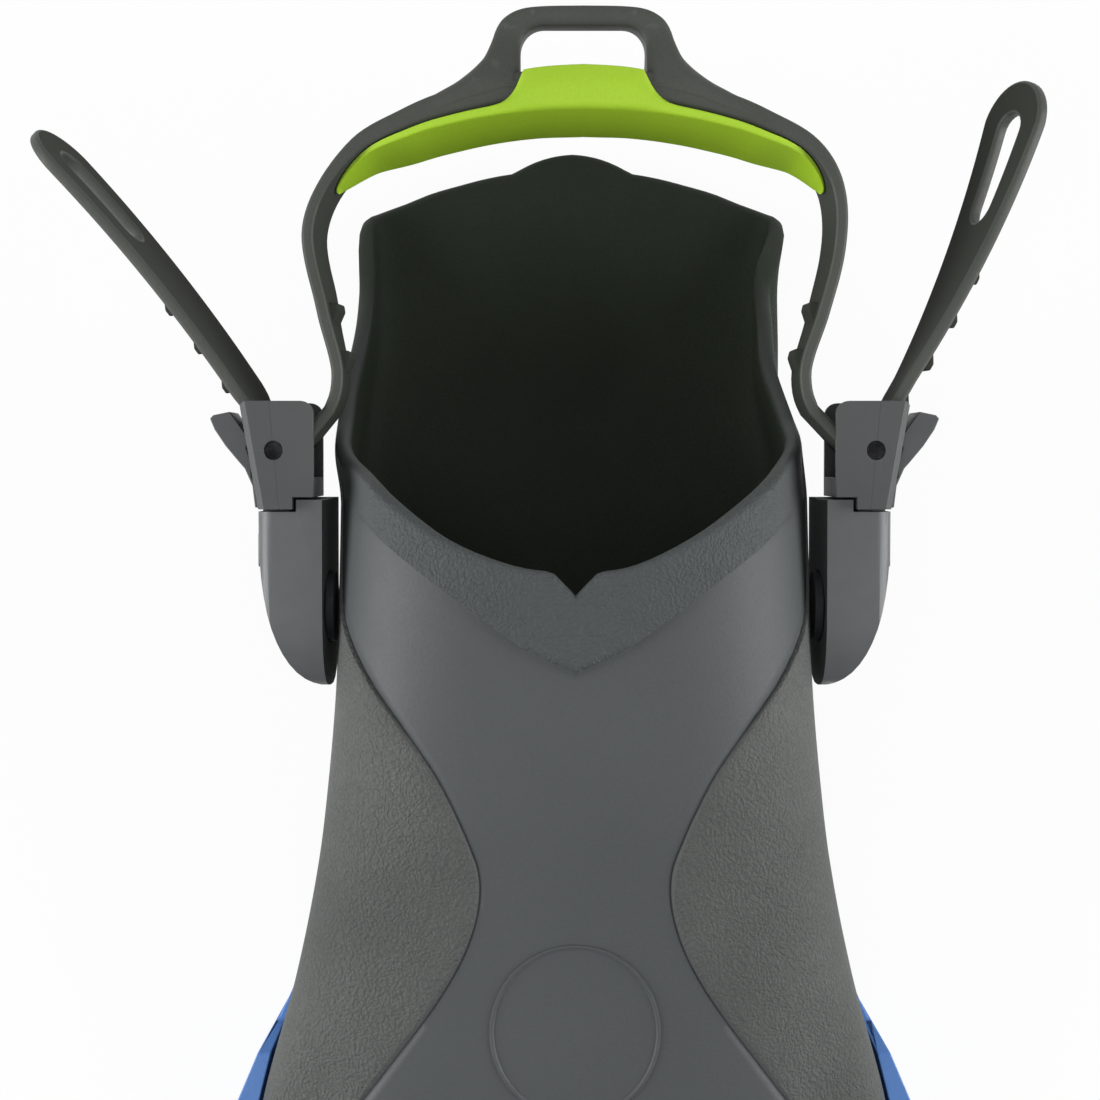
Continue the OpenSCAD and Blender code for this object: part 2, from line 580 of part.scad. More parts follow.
// Bowed leaf in the plug's block that pushes the lever's heel outwards.
leaf_w = lever_h - 4;
leaf_u = lever_u - 3.6;
leaf_p = plug_front + 1;
leaf_len = 3.4;
leaf_bow = 0.6;
leaf_steps = 8;
function leaf_at(i) = [leaf_u + leaf_len * i / leaf_steps, leaf_p + leaf_bow * sin(180 * i / leaf_steps)];
leaf_outline = concat([for (i = [0:leaf_steps]) leaf_at(i)],
    [for (i = [leaf_steps:-1:0]) leaf_at(i) + [0, leaf_t]]);

module lever_spring(side) {
    color(steel) in_strap_plane(side) linear_extrude(leaf_w, center = true) polygon(leaf_outline);
}

// Strap centreline in the strap's own plane, right half: heel, side, waist, wrap round the pin, tail.
apex = strap_reach - strap_heel_t / 2 + 0.6;
waist_u = half_mouth - 2;
waist_p = plug_rear + 3.6;
entry = [half_mouth - 0.4, plug_rear - 2];
entry_turn = atan2(pin_p - entry[1], pin_u - entry[0]) - asin(wrap_r / norm([pin_u, pin_p] - entry));
wrap_from = entry_turn - 90;
half_path_table = [[0, [0, apex]], [12, [12, apex]], [28, [27.8, apex - 2.7]], [35, [34, apex - 5.7]],
    [43, [41.2, apex - 8.8]], [55, [half_mouth - 3.6, apex - 14.6]], [66.5, [half_mouth + 3, apex - 23.6]],
    [78.5, [half_mouth + 5.2, apex - 35.2]], [97, [half_mouth + 1.5, waist_p + 17]],
    [110, [waist_u, waist_p + 4.5]], [115.5, [half_mouth - 1.9, plug_rear + 2.4]], [120.2, entry]];
side_steps = 44;
side_len = half_path_table[len(half_path_table) - 1][0];
wrap_steps = 10;
straight_len = first_tooth - 0.2;
bend_len = 8;
tail_steps = 30;
function side_at(s) = [for (k = [0, 1]) curve([for (row = half_path_table) [row[0], row[1][k]]], s)];
function side_thickness(s) = strap_t
    + (strap_heel_t - strap_t) * pow(max(0, cos(90 * min(1, max(0, s - 10) / 58))), 1.4);
function heading(s, start, end) = let (bent = s - straight_len)
    bent < bend_len ? start * max(0, bent) / bend_len
    : start + (end - start) * (bent - bend_len) / (tail_len - straight_len - bend_len);
function tail_walk(start, end) = let (step = tail_len / tail_steps)
    [for (i = 0, at = [tail_u, pin_p]; i <= tail_steps;
          i = i + 1, at = at + step * [sin(heading((i - 0.5) * step, start, end)),
                                       cos(heading((i - 0.5) * step, start, end))]) at];
function tail_at(s, start, end) = let (walk = tail_walk(start, end), v = s / tail_len * tail_steps, i = floor(v))
    walk[i] + (v - i) * (walk[i + 1] - walk[i]);
// Rows of [point, thickness] along one half of the strap.
function half_rows(start, end) = concat(
    [for (i = [0:side_steps]) let (s = side_len * i / side_steps) [side_at(s), side_thickness(s)]],
    [for (i = [0:wrap_steps]) let (a = wrap_from + (360 - (wrap_from + 360) % 360) * i / wrap_steps)
        [[pin_u, pin_p] + wrap_r * [cos(a), sin(a)], strap_t]],
    [for (i = [1:tail_steps]) [tail_walk(start, end)[i], strap_t]]);
function path_heading(rows, i) = let (d = rows[min(i + 1, len(rows) - 1)][0] - rows[max(i - 1, 0)][0]) d / norm(d);
function offset_side(rows, sign) = [for (i = [0:len(rows) - 1]) let (d = path_heading(rows, i))
    rows[i][0] + sign * rows[i][1] / 2 * [-d[1], d[0]]];
function half_band(rows) = concat(offset_side(rows, 1),
    [for (i = [len(rows) - 1:-1:0]) offset_side(rows, -1)[i]]);

loop_rear = strap_reach + loop_open_d + loop_t;
loop_round = 5.5;
loop_lift = 1;
loop_steps = 16;
// Outside of the finger loop: half width against distance ahead of its bar, flaring into the strap.
loop_half_w = loop_open_w / 2 + loop_leg_t;
loop_drop_table = [[0, 0], [loop_half_w - 12, 0.2], [loop_half_w - 7.8, 1.2], [loop_half_w - 4.8, 3.2],
    [loop_half_w - 2.9, 5.8], [loop_half_w - 1.3, 9.1], [loop_half_w + 1.8, 13], [loop_half_w + 5.8, 17.6],
    [loop_half_w + 11.4, 20.9], [loop_half_w + 15, 22.7]];
loop_flare = loop_half_w + 15;
loop_side = [for (i = [0:loop_steps])
    let (u = loop_flare * i / loop_steps) [u, loop_rear - curve(loop_drop_table, u)]];
loop_root = concat(loop_side, [[loop_flare, apex - 6.5], [loop_flare - 10, apex - 3.4], [12, apex - 1]]);

module loop_hole() {
    half_w = loop_open_w / 2;
    to = strap_reach + loop_open_d;
    polygon(concat([[-half_w, strap_reach], [half_w, strap_reach]],
        [for (a = [0:15:90]) [half_w - loop_round * (1 - cos(a)), to - loop_round * (1 - sin(a))]],
        [for (a = [90:15:180]) [-half_w + loop_round * (1 + cos(a)), to - loop_round * (1 - sin(a))]]));
}

module tooth(at, along_strap, out) {
    linear_extrude(tooth_w, center = true) polygon([at - 0.4 * out, at + tooth_h * out,
        at + tooth_h * out + 1.2 * along_strap, at + tooth_len * along_strap - 0.4 * out]);
}

tail_teeth = 4;
right_slack = 5;
side_tooth_starts = [side_len - 8, side_len - 8 - tooth_pitch];

module half_strap(side, start, end, slack) {
    rows = half_rows(start, end);
    walk = tail_walk(start, end);
    tip_way = [sin(end), cos(end)];
    tip = walk[tail_steps];
    mirror([side < 0 ? 1 : 0, 0, 0]) difference() {
        union() {
            linear_extrude(strap_w, center = true) polygon(half_band(rows));
            for (k = [0:tail_teeth - 1]) {
                s = first_tooth + slack + k * tooth_pitch;
                turn = heading(s, start, end);
                out = [cos(turn), -sin(turn)];
                tooth(tail_at(s, start, end) + strap_t / 2 * out, [sin(turn), cos(turn)], out);
            }
            for (s = side_tooth_starts) {
                way = side_at(s) - side_at(s - tooth_len);
                unit = way / norm(way);
                out = [unit[1], -unit[0]];
                tooth(side_at(s - tooth_len) + side_thickness(s) / 2 * out, unit, out);
            }
        }
        // Finger slot, then the rounded end of the tail.
        translate(concat(tip, 0)) rotate([0, 0, -end]) {
            for (y = [-slot_margin - slot_w / 2, -slot_margin - slot_len + slot_w / 2])
                translate([-15, y, 0]) rotate([0, 90, 0]) cylinder(d = slot_w, h = 30);
            translate([-15, -slot_margin - slot_len + slot_w / 2, -slot_w / 2])
                cube([30, slot_len - slot_w, slot_w]);
            difference() {
                translate([-15, -strap_w / 2, -strap_w]) cube([30, strap_w, 2 * strap_w]);
                translate([-20, -strap_w / 2, 0]) rotate([0, 90, 0]) cylinder(d = strap_w, h = 40);
            }
        }
    }
}

module heel_strap() {
    color(strap_grey) in_strap_plane(right) union() {
        half_strap(right, right_tail_start, right_tail_end, right_slack);
        half_strap(left, left_tail_start, left_tail_end, 0);
        translate([0, 0, loop_lift - loop_h / 2]) linear_extrude(loop_h) difference() {
            polygon(concat(mirrored(loop_root), [for (i = [1:len(loop_root) - 1]) loop_root[i]]));
            loop_hole();
        }
    }
}

// Pad on the foot side of the strap, with a lip over the strap's top edge behind the finger loop.
pad_h = strap_w + 2 * pad_over;
pad_steps = 20;
pad_lip = pad_over - slide_gap - seam;
pad_lip_half_w = loop_open_w / 2 - 0.5;
function pad_thickness(s) = 0.5 + (pad_t - 0.5) * pow(cos(90 * s / pad_half_len), 0.6);
function pad_face(s, depth) = let (d = side_at(s + 0.1) - side_at(s)) let (n = d / norm(d))
    side_at(s) + (side_thickness(s) / 2 + depth) * [n[1], -n[0]];
pad_outer = [for (i = [0:pad_steps]) pad_face(pad_half_len * i / pad_steps, slide_gap)];
pad_inner = [for (i = [pad_steps:-1:0]) let (s = pad_half_len * i / pad_steps)
    pad_face(s, slide_gap + pad_thickness(s))];

module heel_pad() {
    color(pad_green) in_strap_plane(right) {
        for (side = [left, right]) mirror([side < 0 ? 1 : 0, 0, 0])
            linear_extrude(pad_h, center = true) polygon(concat(pad_outer, pad_inner));
        translate([-pad_lip_half_w, apex - strap_heel_t / 2 - 1.5, pad_h / 2 - pad_lip])
            cube([2 * pad_lip_half_w, strap_heel_t + 1.2, pad_lip]);
    }
}

blade();
foot_pocket();
outsole();
buckle_post(left);  // buckle_post_left
buckle_post(right);  // buckle_post_right
buckle_body(left);  // buckle_body_left
buckle_body(right);  // buckle_body_right
release_button(left);  // release_button_left
release_button(right);  // release_button_right
strap_plug(left);  // strap_plug_left
strap_plug(right);  // strap_plug_right
strap_pin(left);  // strap_pin_left
strap_pin(right);  // strap_pin_right
ratchet_lever(left);  // ratchet_lever_left
ratchet_lever(right);  // ratchet_lever_right
lever_pin(left);  // lever_pin_left
lever_pin(right);  // lever_pin_right
lever_spring(left);  // lever_spring_left
lever_spring(right);  // lever_spring_right
heel_strap();
heel_pad();
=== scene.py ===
"""Looks of the open-heel swim fin: rubber foot pocket, heel strap with pad, buckles, blade and sole."""

import math

import bmesh
import bpy
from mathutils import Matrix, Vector
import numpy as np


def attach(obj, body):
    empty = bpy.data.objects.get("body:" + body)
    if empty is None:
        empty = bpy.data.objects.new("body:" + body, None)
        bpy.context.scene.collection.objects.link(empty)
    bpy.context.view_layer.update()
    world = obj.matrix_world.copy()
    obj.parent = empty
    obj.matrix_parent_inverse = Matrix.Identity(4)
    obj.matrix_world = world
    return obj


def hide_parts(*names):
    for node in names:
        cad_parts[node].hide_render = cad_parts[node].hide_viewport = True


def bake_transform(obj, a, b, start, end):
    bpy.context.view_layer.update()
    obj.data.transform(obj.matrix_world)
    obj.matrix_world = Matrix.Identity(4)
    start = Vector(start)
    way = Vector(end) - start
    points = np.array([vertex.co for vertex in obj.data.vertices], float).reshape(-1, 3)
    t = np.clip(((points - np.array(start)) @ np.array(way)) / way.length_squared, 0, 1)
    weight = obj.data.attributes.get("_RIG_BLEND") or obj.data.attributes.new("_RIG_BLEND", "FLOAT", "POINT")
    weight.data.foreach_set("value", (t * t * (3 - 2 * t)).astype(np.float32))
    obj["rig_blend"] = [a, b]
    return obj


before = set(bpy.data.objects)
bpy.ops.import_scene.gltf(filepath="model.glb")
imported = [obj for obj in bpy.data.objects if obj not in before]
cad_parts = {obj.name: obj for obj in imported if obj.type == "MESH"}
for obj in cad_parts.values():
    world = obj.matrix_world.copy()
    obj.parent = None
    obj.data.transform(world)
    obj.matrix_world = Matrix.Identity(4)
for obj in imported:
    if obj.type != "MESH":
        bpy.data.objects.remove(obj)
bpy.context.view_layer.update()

MM = 0.001
WELD = 2e-6
SIDES = {"left": -1, "right": 1}


# Small tools for shapes


def curve(table, at):
    """Smooth curve through [position, value] pairs, the same one that lays out the solid parts."""
    last = len(table) - 1
    i = 0
    while i < last - 1 and at >= table[i + 1][0]:
        i += 1

    def slope(k):
        low, high = table[max(k - 1, 0)], table[min(k + 1, last)]
        return (high[1] - low[1]) / (high[0] - low[0])

    span = table[i + 1][0] - table[i][0]
    r = (at - table[i][0]) / span
    q = 1 - r
    level = table[i][1] * q * q * (1 + 2 * r) + table[i + 1][1] * r * r * (1 + 2 * q)
    return level + span * r * q * (slope(i) * q - slope(i + 1) * r)


def clamp(value, low=0.0, high=1.0):
    """Holds a value between two limits."""
    return max(low, min(high, value))


def ease(value, start, end):
    """Soft step from 0 at start to 1 at end."""
    r = clamp((value - start) / (end - start))
    return r * r * (3 - 2 * r)


def hump(value, rise, fall):
    """Soft hill: from 0 to 1 over the first range and back to 0 over the second."""
    return ease(value, *rise) * (1 - ease(value, *fall))


def laid_grid(columns, rows, place, masks=()):
    """A grid laid on a surface: place(column, row) gives each point in millimetres, and its masks."""
    bm = bmesh.new()
    layers = [bm.verts.layers.float.new(name) for name in masks]
    bmesh.ops.create_grid(bm, x_segments=columns, y_segments=rows, size=0.5)
    for vert in bm.verts:
        point, values = place(round((vert.co.x + 0.5) * columns), round((vert.co.y + 0.5) * rows))
        vert.co = point * MM
        for layer, value in zip(layers, values):
            vert[layer] = value
    bmesh.ops.remove_doubles(bm, verts=bm.verts, dist=WELD)
    bmesh.ops.dissolve_degenerate(bm, edges=bm.edges, dist=1e-7)
    bmesh.ops.triangulate(bm, faces=bm.faces, quad_method="SHORT_EDGE")
    bmesh.ops.recalc_face_normals(bm, faces=bm.faces)
    return bm


def finished(name, bm, body, material, nodes=(), sharp=math.radians(40)):
    """Turns a bmesh into a named piece in place of solid parts, riding on a body where it has one."""
    mesh = bpy.data.meshes.new(name)
    bm.to_mesh(mesh)
    bm.free()
    for face in mesh.polygons:
        face.use_smooth = True
    mesh.set_sharp_from_angle(angle=sharp)
    piece = bpy.data.objects.new(name, mesh)
    bpy.context.scene.collection.objects.link(piece)
    mesh.materials.append(material)
    if body:
        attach(piece, body)
    if nodes:
        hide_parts(*nodes)
    return piece


# Foot pocket sections, in millimetres: +y to the heel, widest at the wings beside the toes

TOE_REACH = 165
CAVITY_REACH = 142
POCKET_BASE = 6.0
CAVITY_BASE = 10.0
WALL = 4.0
HALF_MOUTH = 55.5
# Distance back against half width, top height, height of the widest place and half width of the cavity
HALF_WIDTH = [[-165, 22], [-158, 42], [-145, 60.3], [-130, 71.3], [-116, 74.3], [-85, 65.4], [-60, 60.1],
              [-40, 57.5], [-20, 55.9], [0, 55.5], [44, 55.2], [75, 54.6], [106, 54.6], [125, 53.4]]
TOP = [[-165, 13], [-145, 23], [-116, 35], [-80, 47], [-40, 61], [0, 72], [20, 76], [125, 90]]
WIDEST = [[-165, 9.5], [-116, 12], [-80, 21], [-30, 33.5], [0, 35], [125, 35]]
CAVITY = [[-142, 20], [-134, 36], [-120, 44], [-90, 47.5], [-40, 51.5], [0, 51.5], [44, 51.2], [75, 50.6],
          [106, 50.6], [125, 49.9]]
# Angle round the section against distance back: the mouth's edge, then the depth of the band below it
MOUTH = [[0, 1.2], [12, 2.4], [22.5, 5.7], [31.5, 9.9], [39.3, 14.9], [49.7, 21.8], [61, 29], [75, 36.2],
         [88.5, 46], [91, 54], [97, 63], [104, 70], [111, 76.5], [118, 83], [123.5, 91.5], [126, 98.5],
         [129, 104], [135, 107.3], [140, 110], [145, 113], [150, 115], [157, 117.2], [165, 118.6],
         [180, 119.2]]
BAND = [[0, 22.1], [10, 18.5], [20, 14.8], [30, 11.7], [45, 10.7], [180, 8.1]]
BAND_H = 0.9
NOTCH_HALF_W, NOTCH_DEPTH = 5.4, 4.8
HEEL_BUMP_HALF_W, HEEL_BUMP = 16.2, 4.5
# Edge of the side panels, as a share of the pocket's half width
PANEL_SHARE = [[-165, 0.99], [-146, 0.98], [-128, 0.85], [-114, 0.67], [-102, 0.555], [-91, 0.46],
               [-82, 0.395], [-74, 0.36], [-67, 0.355], [-61, 0.38], [-44, 0.535], [-32, 0.69], [-21, 0.835],
               [-11, 0.93], [-3, 0.975], [8, 0.99], [125, 0.99]]
# Powers of the rounded section: above its widest height and below it
ROUND_ABOVE, ROUND_BELOW = 2.3, 9


def section_point(angle, half_w, low, mid, high):
    """Point of a pocket section: rounded above its widest height, nearly square below."""
    sine, cosine = math.sin(angle), math.cos(angle)
    power = ROUND_ABOVE if cosine >= 0 else ROUND_BELOW
    reach = (abs(sine) ** power + abs(cosine) ** power) ** (-1 / power)
    height = high - mid if cosine >= 0 else mid - low
    return half_w * sine * reach, mid + height * cosine * reach


def outer_point(angle, y, lift=0.0):
    """Point of the pocket's outside, raised by a lift."""
    half_w, high = curve(HALF_WIDTH, y) + lift, curve(TOP, y) + lift
    x, z = section_point(angle, half_w, POCKET_BASE, curve(WIDEST, y), high)
    return Vector((x, y, z))


def inner_point(angle, y):
    """Point of the pocket's cavity."""
    mid = max(curve(WIDEST, y), CAVITY_BASE + 2)
    x, z = section_point(angle, curve(CAVITY, y), CAVITY_BASE, mid, curve(TOP, y) - WALL)
    return Vector((x, y, z))


def angle_at(x, y):
    """Angle round the section at which the pocket's top surface stands at x."""
    low, high = 0.0, math.pi / 2
    for _ in range(40):
        middle = (low + high) / 2
        if outer_point(middle, y).x < x:
            low = middle
        else:
            high = middle
    return low


def mouth_y(angle):
    """How far back the mouth's edge lies at an angle, before its notch and bump are cut."""
    return curve(MOUTH, math.degrees(angle))


def rim_y(angle):
    """The mouth's edge with its front notch and heel bump."""
    x = abs(section_point(angle, HALF_MOUTH, 0, 0, 0)[0])
    if angle < math.pi / 2:
        return mouth_y(angle) - NOTCH_DEPTH * max(0, 1 - x / NOTCH_HALF_W)
    return mouth_y(angle) + HEEL_BUMP * max(0, 1 - (x / HEEL_BUMP_HALF_W) ** 2)


def band_y(angle):
    """Front edge of the raised band."""
    return mouth_y(angle) - curve(BAND, math.degrees(angle))


# Angles over which the band ends at the sides
BAND_END, BAND_FADE = 62, 12


def band_weight(angle):
    """1 on the raised band over the instep, fading to 0 at the sides."""
    return clamp((BAND_END - math.degrees(angle)) / BAND_FADE)


def panel_angle(y):
    """Angle round the section at which the side panel starts."""
    share = min(0.995, curve(PANEL_SHARE, y))
    return math.atan(share / (1 - share ** ROUND_ABOVE) ** (1 / ROUND_ABOVE))


# Foot pocket: one closed skin from the toe over the rim to the inside

# Nominal angles of the columns on one half: the side panel's edge and the fine groove along it
PANEL_EDGE = 45
GROOVE_START, GROOVE_MIDDLE, PANEL_START, GROOVE_END = 44.2, 44.8, 45.2, 45.8
GROOVE_REACH = 0.6
HALF_COLUMNS = [GROOVE_START * (i / 24) ** 1.5 for i in range(25)] + [44.6, 45.0, 45.4, GROOVE_END]
HALF_COLUMNS += [GROOVE_END + (180 - GROOVE_END) * i / 48 for i in range(1, 49)]
POCKET_ROWS = [("toe", i / 5) for i in range(6)]
POCKET_ROWS += [("outer", (i / 110) ** 1.2) for i in range(1, 111)]
POCKET_ROWS += [("band", 1 - i / 9) for i in range(9)]
POCKET_ROWS += [("rim", math.pi * i / 9) for i in range(10)]
POCKET_ROWS += [("inner", (1 - i / 60) ** 1.2) for i in range(1, 61)]
POCKET_ROWS += [("inner_toe", i / 3) for i in range(1, 4)]
RIM_ROUND = 1.9
BAND_STEP = 0.3
PANEL_H = 0.45
MIDDLE_DROP = 0.4
GROOVE_DEPTH = 0.45
PANEL_SHOULDER = 0.7
# Angles over which a panel ends at the sides, and distances from the mouth's edge over which it rises
PANEL_END, PANEL_RISE = (68, 86), (2.0, 9.0)
TOE_BULGE = 1.5
CAVITY_TOE_RISE, CAVITY_TOE_BULGE = 4, 4
LINING_GRAIN = 0.3
# Where the near-black painted shade of the cavity begins, and the skin's darkening towards the heel: round
# the rim, back along the rim and back along the outside
RIM_DARK, RIM_DARK_BACK, OUTSIDE_DARK_BACK = (1.9, 2.9), (42, 88), (46, 74)
# Masks on the pocket's skin: grain, painted shade and band colour
POCKET_MASKS = ("grain", "inside", "band")


def warped(nominal, y):
    """Turns a column's nominal angle so that the column at PANEL_EDGE follows the side panel's edge."""
    edge = panel_angle(y)
    if nominal < PANEL_EDGE:
        return edge * nominal / PANEL_EDGE
    return edge + (math.pi - edge) * (nominal - PANEL_EDGE) / (180 - PANEL_EDGE)


def panel_lift(nominal, angle):
    """Side panels stand proud of the smooth middle, with a fine groove along their edge."""
    side = PANEL_H * (1 - ease(math.degrees(angle), *PANEL_END))
    if nominal >= GROOVE_END:
        return side
    if nominal <= GROOVE_START:
        return -MIDDLE_DROP
    if nominal < PANEL_START:
        return -MIDDLE_DROP - GROOVE_DEPTH * (1 - abs(nominal - GROOVE_MIDDLE) / GROOVE_REACH)
    return side * PANEL_SHOULDER


DENT_DEPTH, DENT_X, DENT_Y, DENT_WIDE, DENT_LONG = 3.2, 61, -116, 10, 15


def toe_dent(x, y):
    """Soft hollows at the wings beside the toes."""
    return -DENT_DEPTH * math.exp(-((abs(x) - DENT_X) / DENT_WIDE) ** 2 - ((y - DENT_Y) / DENT_LONG) ** 2)


# How far the soft side walls lean in beside the heel, at their top edge
HEEL_SLUMP = {-1: 1.2, 1: 5.5}


def slump(side, y, z):
    """How far a point of a side wall leans in."""
    return HEEL_SLUMP[side] * hump(y, (36, 64), (84, 106)) * clamp((z - 8) / 10)


# How far the side walls swell out beside the strap plugs
FLANK_SWELL = {-1: 1.8, 1: -0.8}


def swell(side, y):
    """How far a side wall stands out at a distance back."""
    return FLANK_SWELL[side] * hump(y, (24, 38), (50, 76))


RIGHT_FLANK_BACK = 2.0


def skew(side, angle):
    """The right flank of the mouth lies a little further back than the left."""
    if side < 0:
        return 0.0
    return RIGHT_FLANK_BACK * hump(math.degrees(angle), (8, 36), (66, 96))


def row_y(kind, part, rim, edge):
    """How far back a row of the skin lies, from the mouth's edge and the band's front edge."""
    if kind == "toe":
        return -TOE_REACH
    if kind == "outer":
        return -TOE_REACH + (edge - BAND_STEP + TOE_REACH) * part
    if kind == "band":
        return rim - RIM_ROUND - (rim - RIM_ROUND - edge) * part
    if kind == "rim":
        return rim - RIM_ROUND
    return -CAVITY_REACH + (rim - RIM_ROUND + CAVITY_REACH) * (part if kind == "inner" else 0)


def pocket_place(column, row):
    """Point of the pocket's skin, with its share of grain, of painted shade and of band colour."""
    half = len(HALF_COLUMNS) - 1
    side = 1 if column <= half else -1
    nominal = HALF_COLUMNS[column if column <= half else 2 * half - column]
    kind, part = POCKET_ROWS[row]
    angle, y = math.radians(nominal), 0.0
    for _ in range(6):
        y = row_y(kind, part, rim_y(angle) + skew(side, angle), band_y(angle))
        angle = warped(nominal, y)
    rim = rim_y(angle) + skew(side, angle)
    weight = band_weight(angle)
    on_panel = 1.0 if nominal > PANEL_START else 0.0
    lift = panel_lift(nominal, angle) * ease(rim - y, *PANEL_RISE)
    grain, inside = on_panel, 0.0
    if kind in ("toe", "outer"):
        flat = outer_point(angle, y, lift)
        point = outer_point(angle, y, lift + toe_dent(flat.x, y))
        if kind == "toe":
            middle = Vector((0, y, curve(WIDEST, y)))
            point = middle + (point - middle) * math.sin(part * math.pi / 2)
            point.y = y - TOE_BULGE * math.cos(part * math.pi / 2)
    elif kind == "band":
        point = outer_point(angle, y, lift * (1 - weight) + BAND_H * weight)
        grain = max(grain * (1 - weight), weight)
    elif kind == "rim":
        high = outer_point(angle, y, BAND_H * weight)
        low = inner_point(angle, y)
        along = (outer_point(angle, y) - outer_point(angle, y - 3)).normalized()
        point = (high + low) / 2 + (high - low) / 2 * math.cos(part) + along * RIM_ROUND * math.sin(part)
        # The rim turns near-black with painted shade going into the cavity, and darker towards the heel
        inside = max(ease(part, *RIM_DARK), 0.95 * ease(y, *RIM_DARK_BACK))
        grain = weight * (1 - inside)
    else:
        point = inner_point(angle, y)
        # The whole cavity carries painted shade
        inside = 1.0
        grain = LINING_GRAIN
        if kind == "inner_toe":
            middle = Vector((0, y, curve(WIDEST, y) + CAVITY_TOE_RISE))
            point = middle + (point - middle) * (1 - part)
            point.y = y - CAVITY_TOE_BULGE * math.sin(part * math.pi / 2)
    if kind in ("toe", "outer", "band"):
        # The outside turns darker towards the heel on the painted shade mask
        inside = ease(y, *OUTSIDE_DARK_BACK)
    point.x = side * (point.x + swell(side, y) - slump(side, y, point.z))
    band = weight if kind == "band" or (kind == "rim" and part < 2) else 0.0
    return point, (grain, inside, band)


# Strap centreline in its own tilted plane: u across the foot, p back along the plane, q up from it

PITCH = math.radians(14)
STUD_H = 38.0
STRAP_W = 22.0
STRAP_T = 2.8
HEEL_T = 6.6
APEX = 121.3
PIN_U, PIN_P = 69.35, 36.6
WRAP_R = 3.85
TAIL_LEN = 93.0
TAIL_STRAIGHT = 4.7
TAIL_BEND = 8.0
# Lengths along the tail over which it starts to lean, and from where and how far it twists on to its tip
TAIL_LEAN_START, TAIL_TWIST_START, TAIL_TWIST_LEN = (2, 16), 18, 65
# Length along one half against its place across and back
HALF_PATH = [[0, (0, APEX)], [12, (12, APEX - 0.6)], [24, (23.8, APEX - 2.8)], [35, (34.2, APEX - 6)],
             [43, (41.3, APEX - 9)], [55, (HALF_MOUTH - 3.6, APEX - 14.6)],
             [66.5, (HALF_MOUTH + 3, APEX - 23.6)], [78.5, (HALF_MOUTH + 5.2, APEX - 35.2)],
             [97, (HALF_MOUTH + 1.5, 68.6)], [110, (HALF_MOUTH - 2, 56.1)], [115.5, (HALF_MOUTH - 1.9, 50.4)],
             [120.2, (HALF_MOUTH - 0.4, 46)]]
HALF_STEPS, WRAP_STEPS = 121, 17
# How each half of the worn strap lies. In degrees: the tail's heading after its bend and at its tip, and the
# lean of tail and side. In millimetres: how much later the teeth start, how far the side stands out beside
# the heel (spread) and how far by the plug (entry)
LIE = {
    "left": {"heading": (33.6, 44.6), "tail_lean": (9, 12), "side_lean": 4, "slack": 0, "spread": 0.3,
             "entry": 1.5},
    "right": {"heading": (30.2, 14.8), "tail_lean": (0, 25), "side_lean": 3, "slack": 5, "spread": 0.2,
              "entry": 0},
}
# The strap sits a little to one side behind the heel, and its loop a little less
SWAY, LOOP_SWAY = 2.4, 2.0
SWAY_BACK, LOOP_BACK, SWAY_ACROSS = (84, 108), (114, 126), (66, 76)
# The heel's thickness holds for a length, then fades to that of the sides
HEEL_HOLD, HEEL_FADE, HEEL_POWER = 10, 58, 1.4
LOOP_HALF_W = 14.6
LOOP_REAR = 139.6
LOOP_BAR_T = 4.6
STRAP_REACH = 124.0


def in_strap_plane(u, p, q):
    """Point of the strap's tilted plane, with the sway behind the heel."""
    sway = SWAY * ease(p, *SWAY_BACK) - (SWAY - LOOP_SWAY) * ease(p, *LOOP_BACK)
    u += sway * (1 - ease(abs(u), *SWAY_ACROSS))
    sine, cosine = math.sin(PITCH), math.cos(PITCH)
    return Vector((u, p * cosine - q * sine, STUD_H + p * sine + q * cosine))


def side_at(s):
    """Place of the strap's centreline at a length from the heel."""
    return Vector([curve([[row[0], row[1][k]] for row in HALF_PATH], s) for k in (0, 1)])


def side_thickness(s):
    """Thickness of the strap at a length from the heel."""
    fade = min(1, max(0, s - HEEL_HOLD) / HEEL_FADE)
    return STRAP_T + (HEEL_T - STRAP_T) * math.cos(math.pi / 2 * fade) ** HEEL_POWER


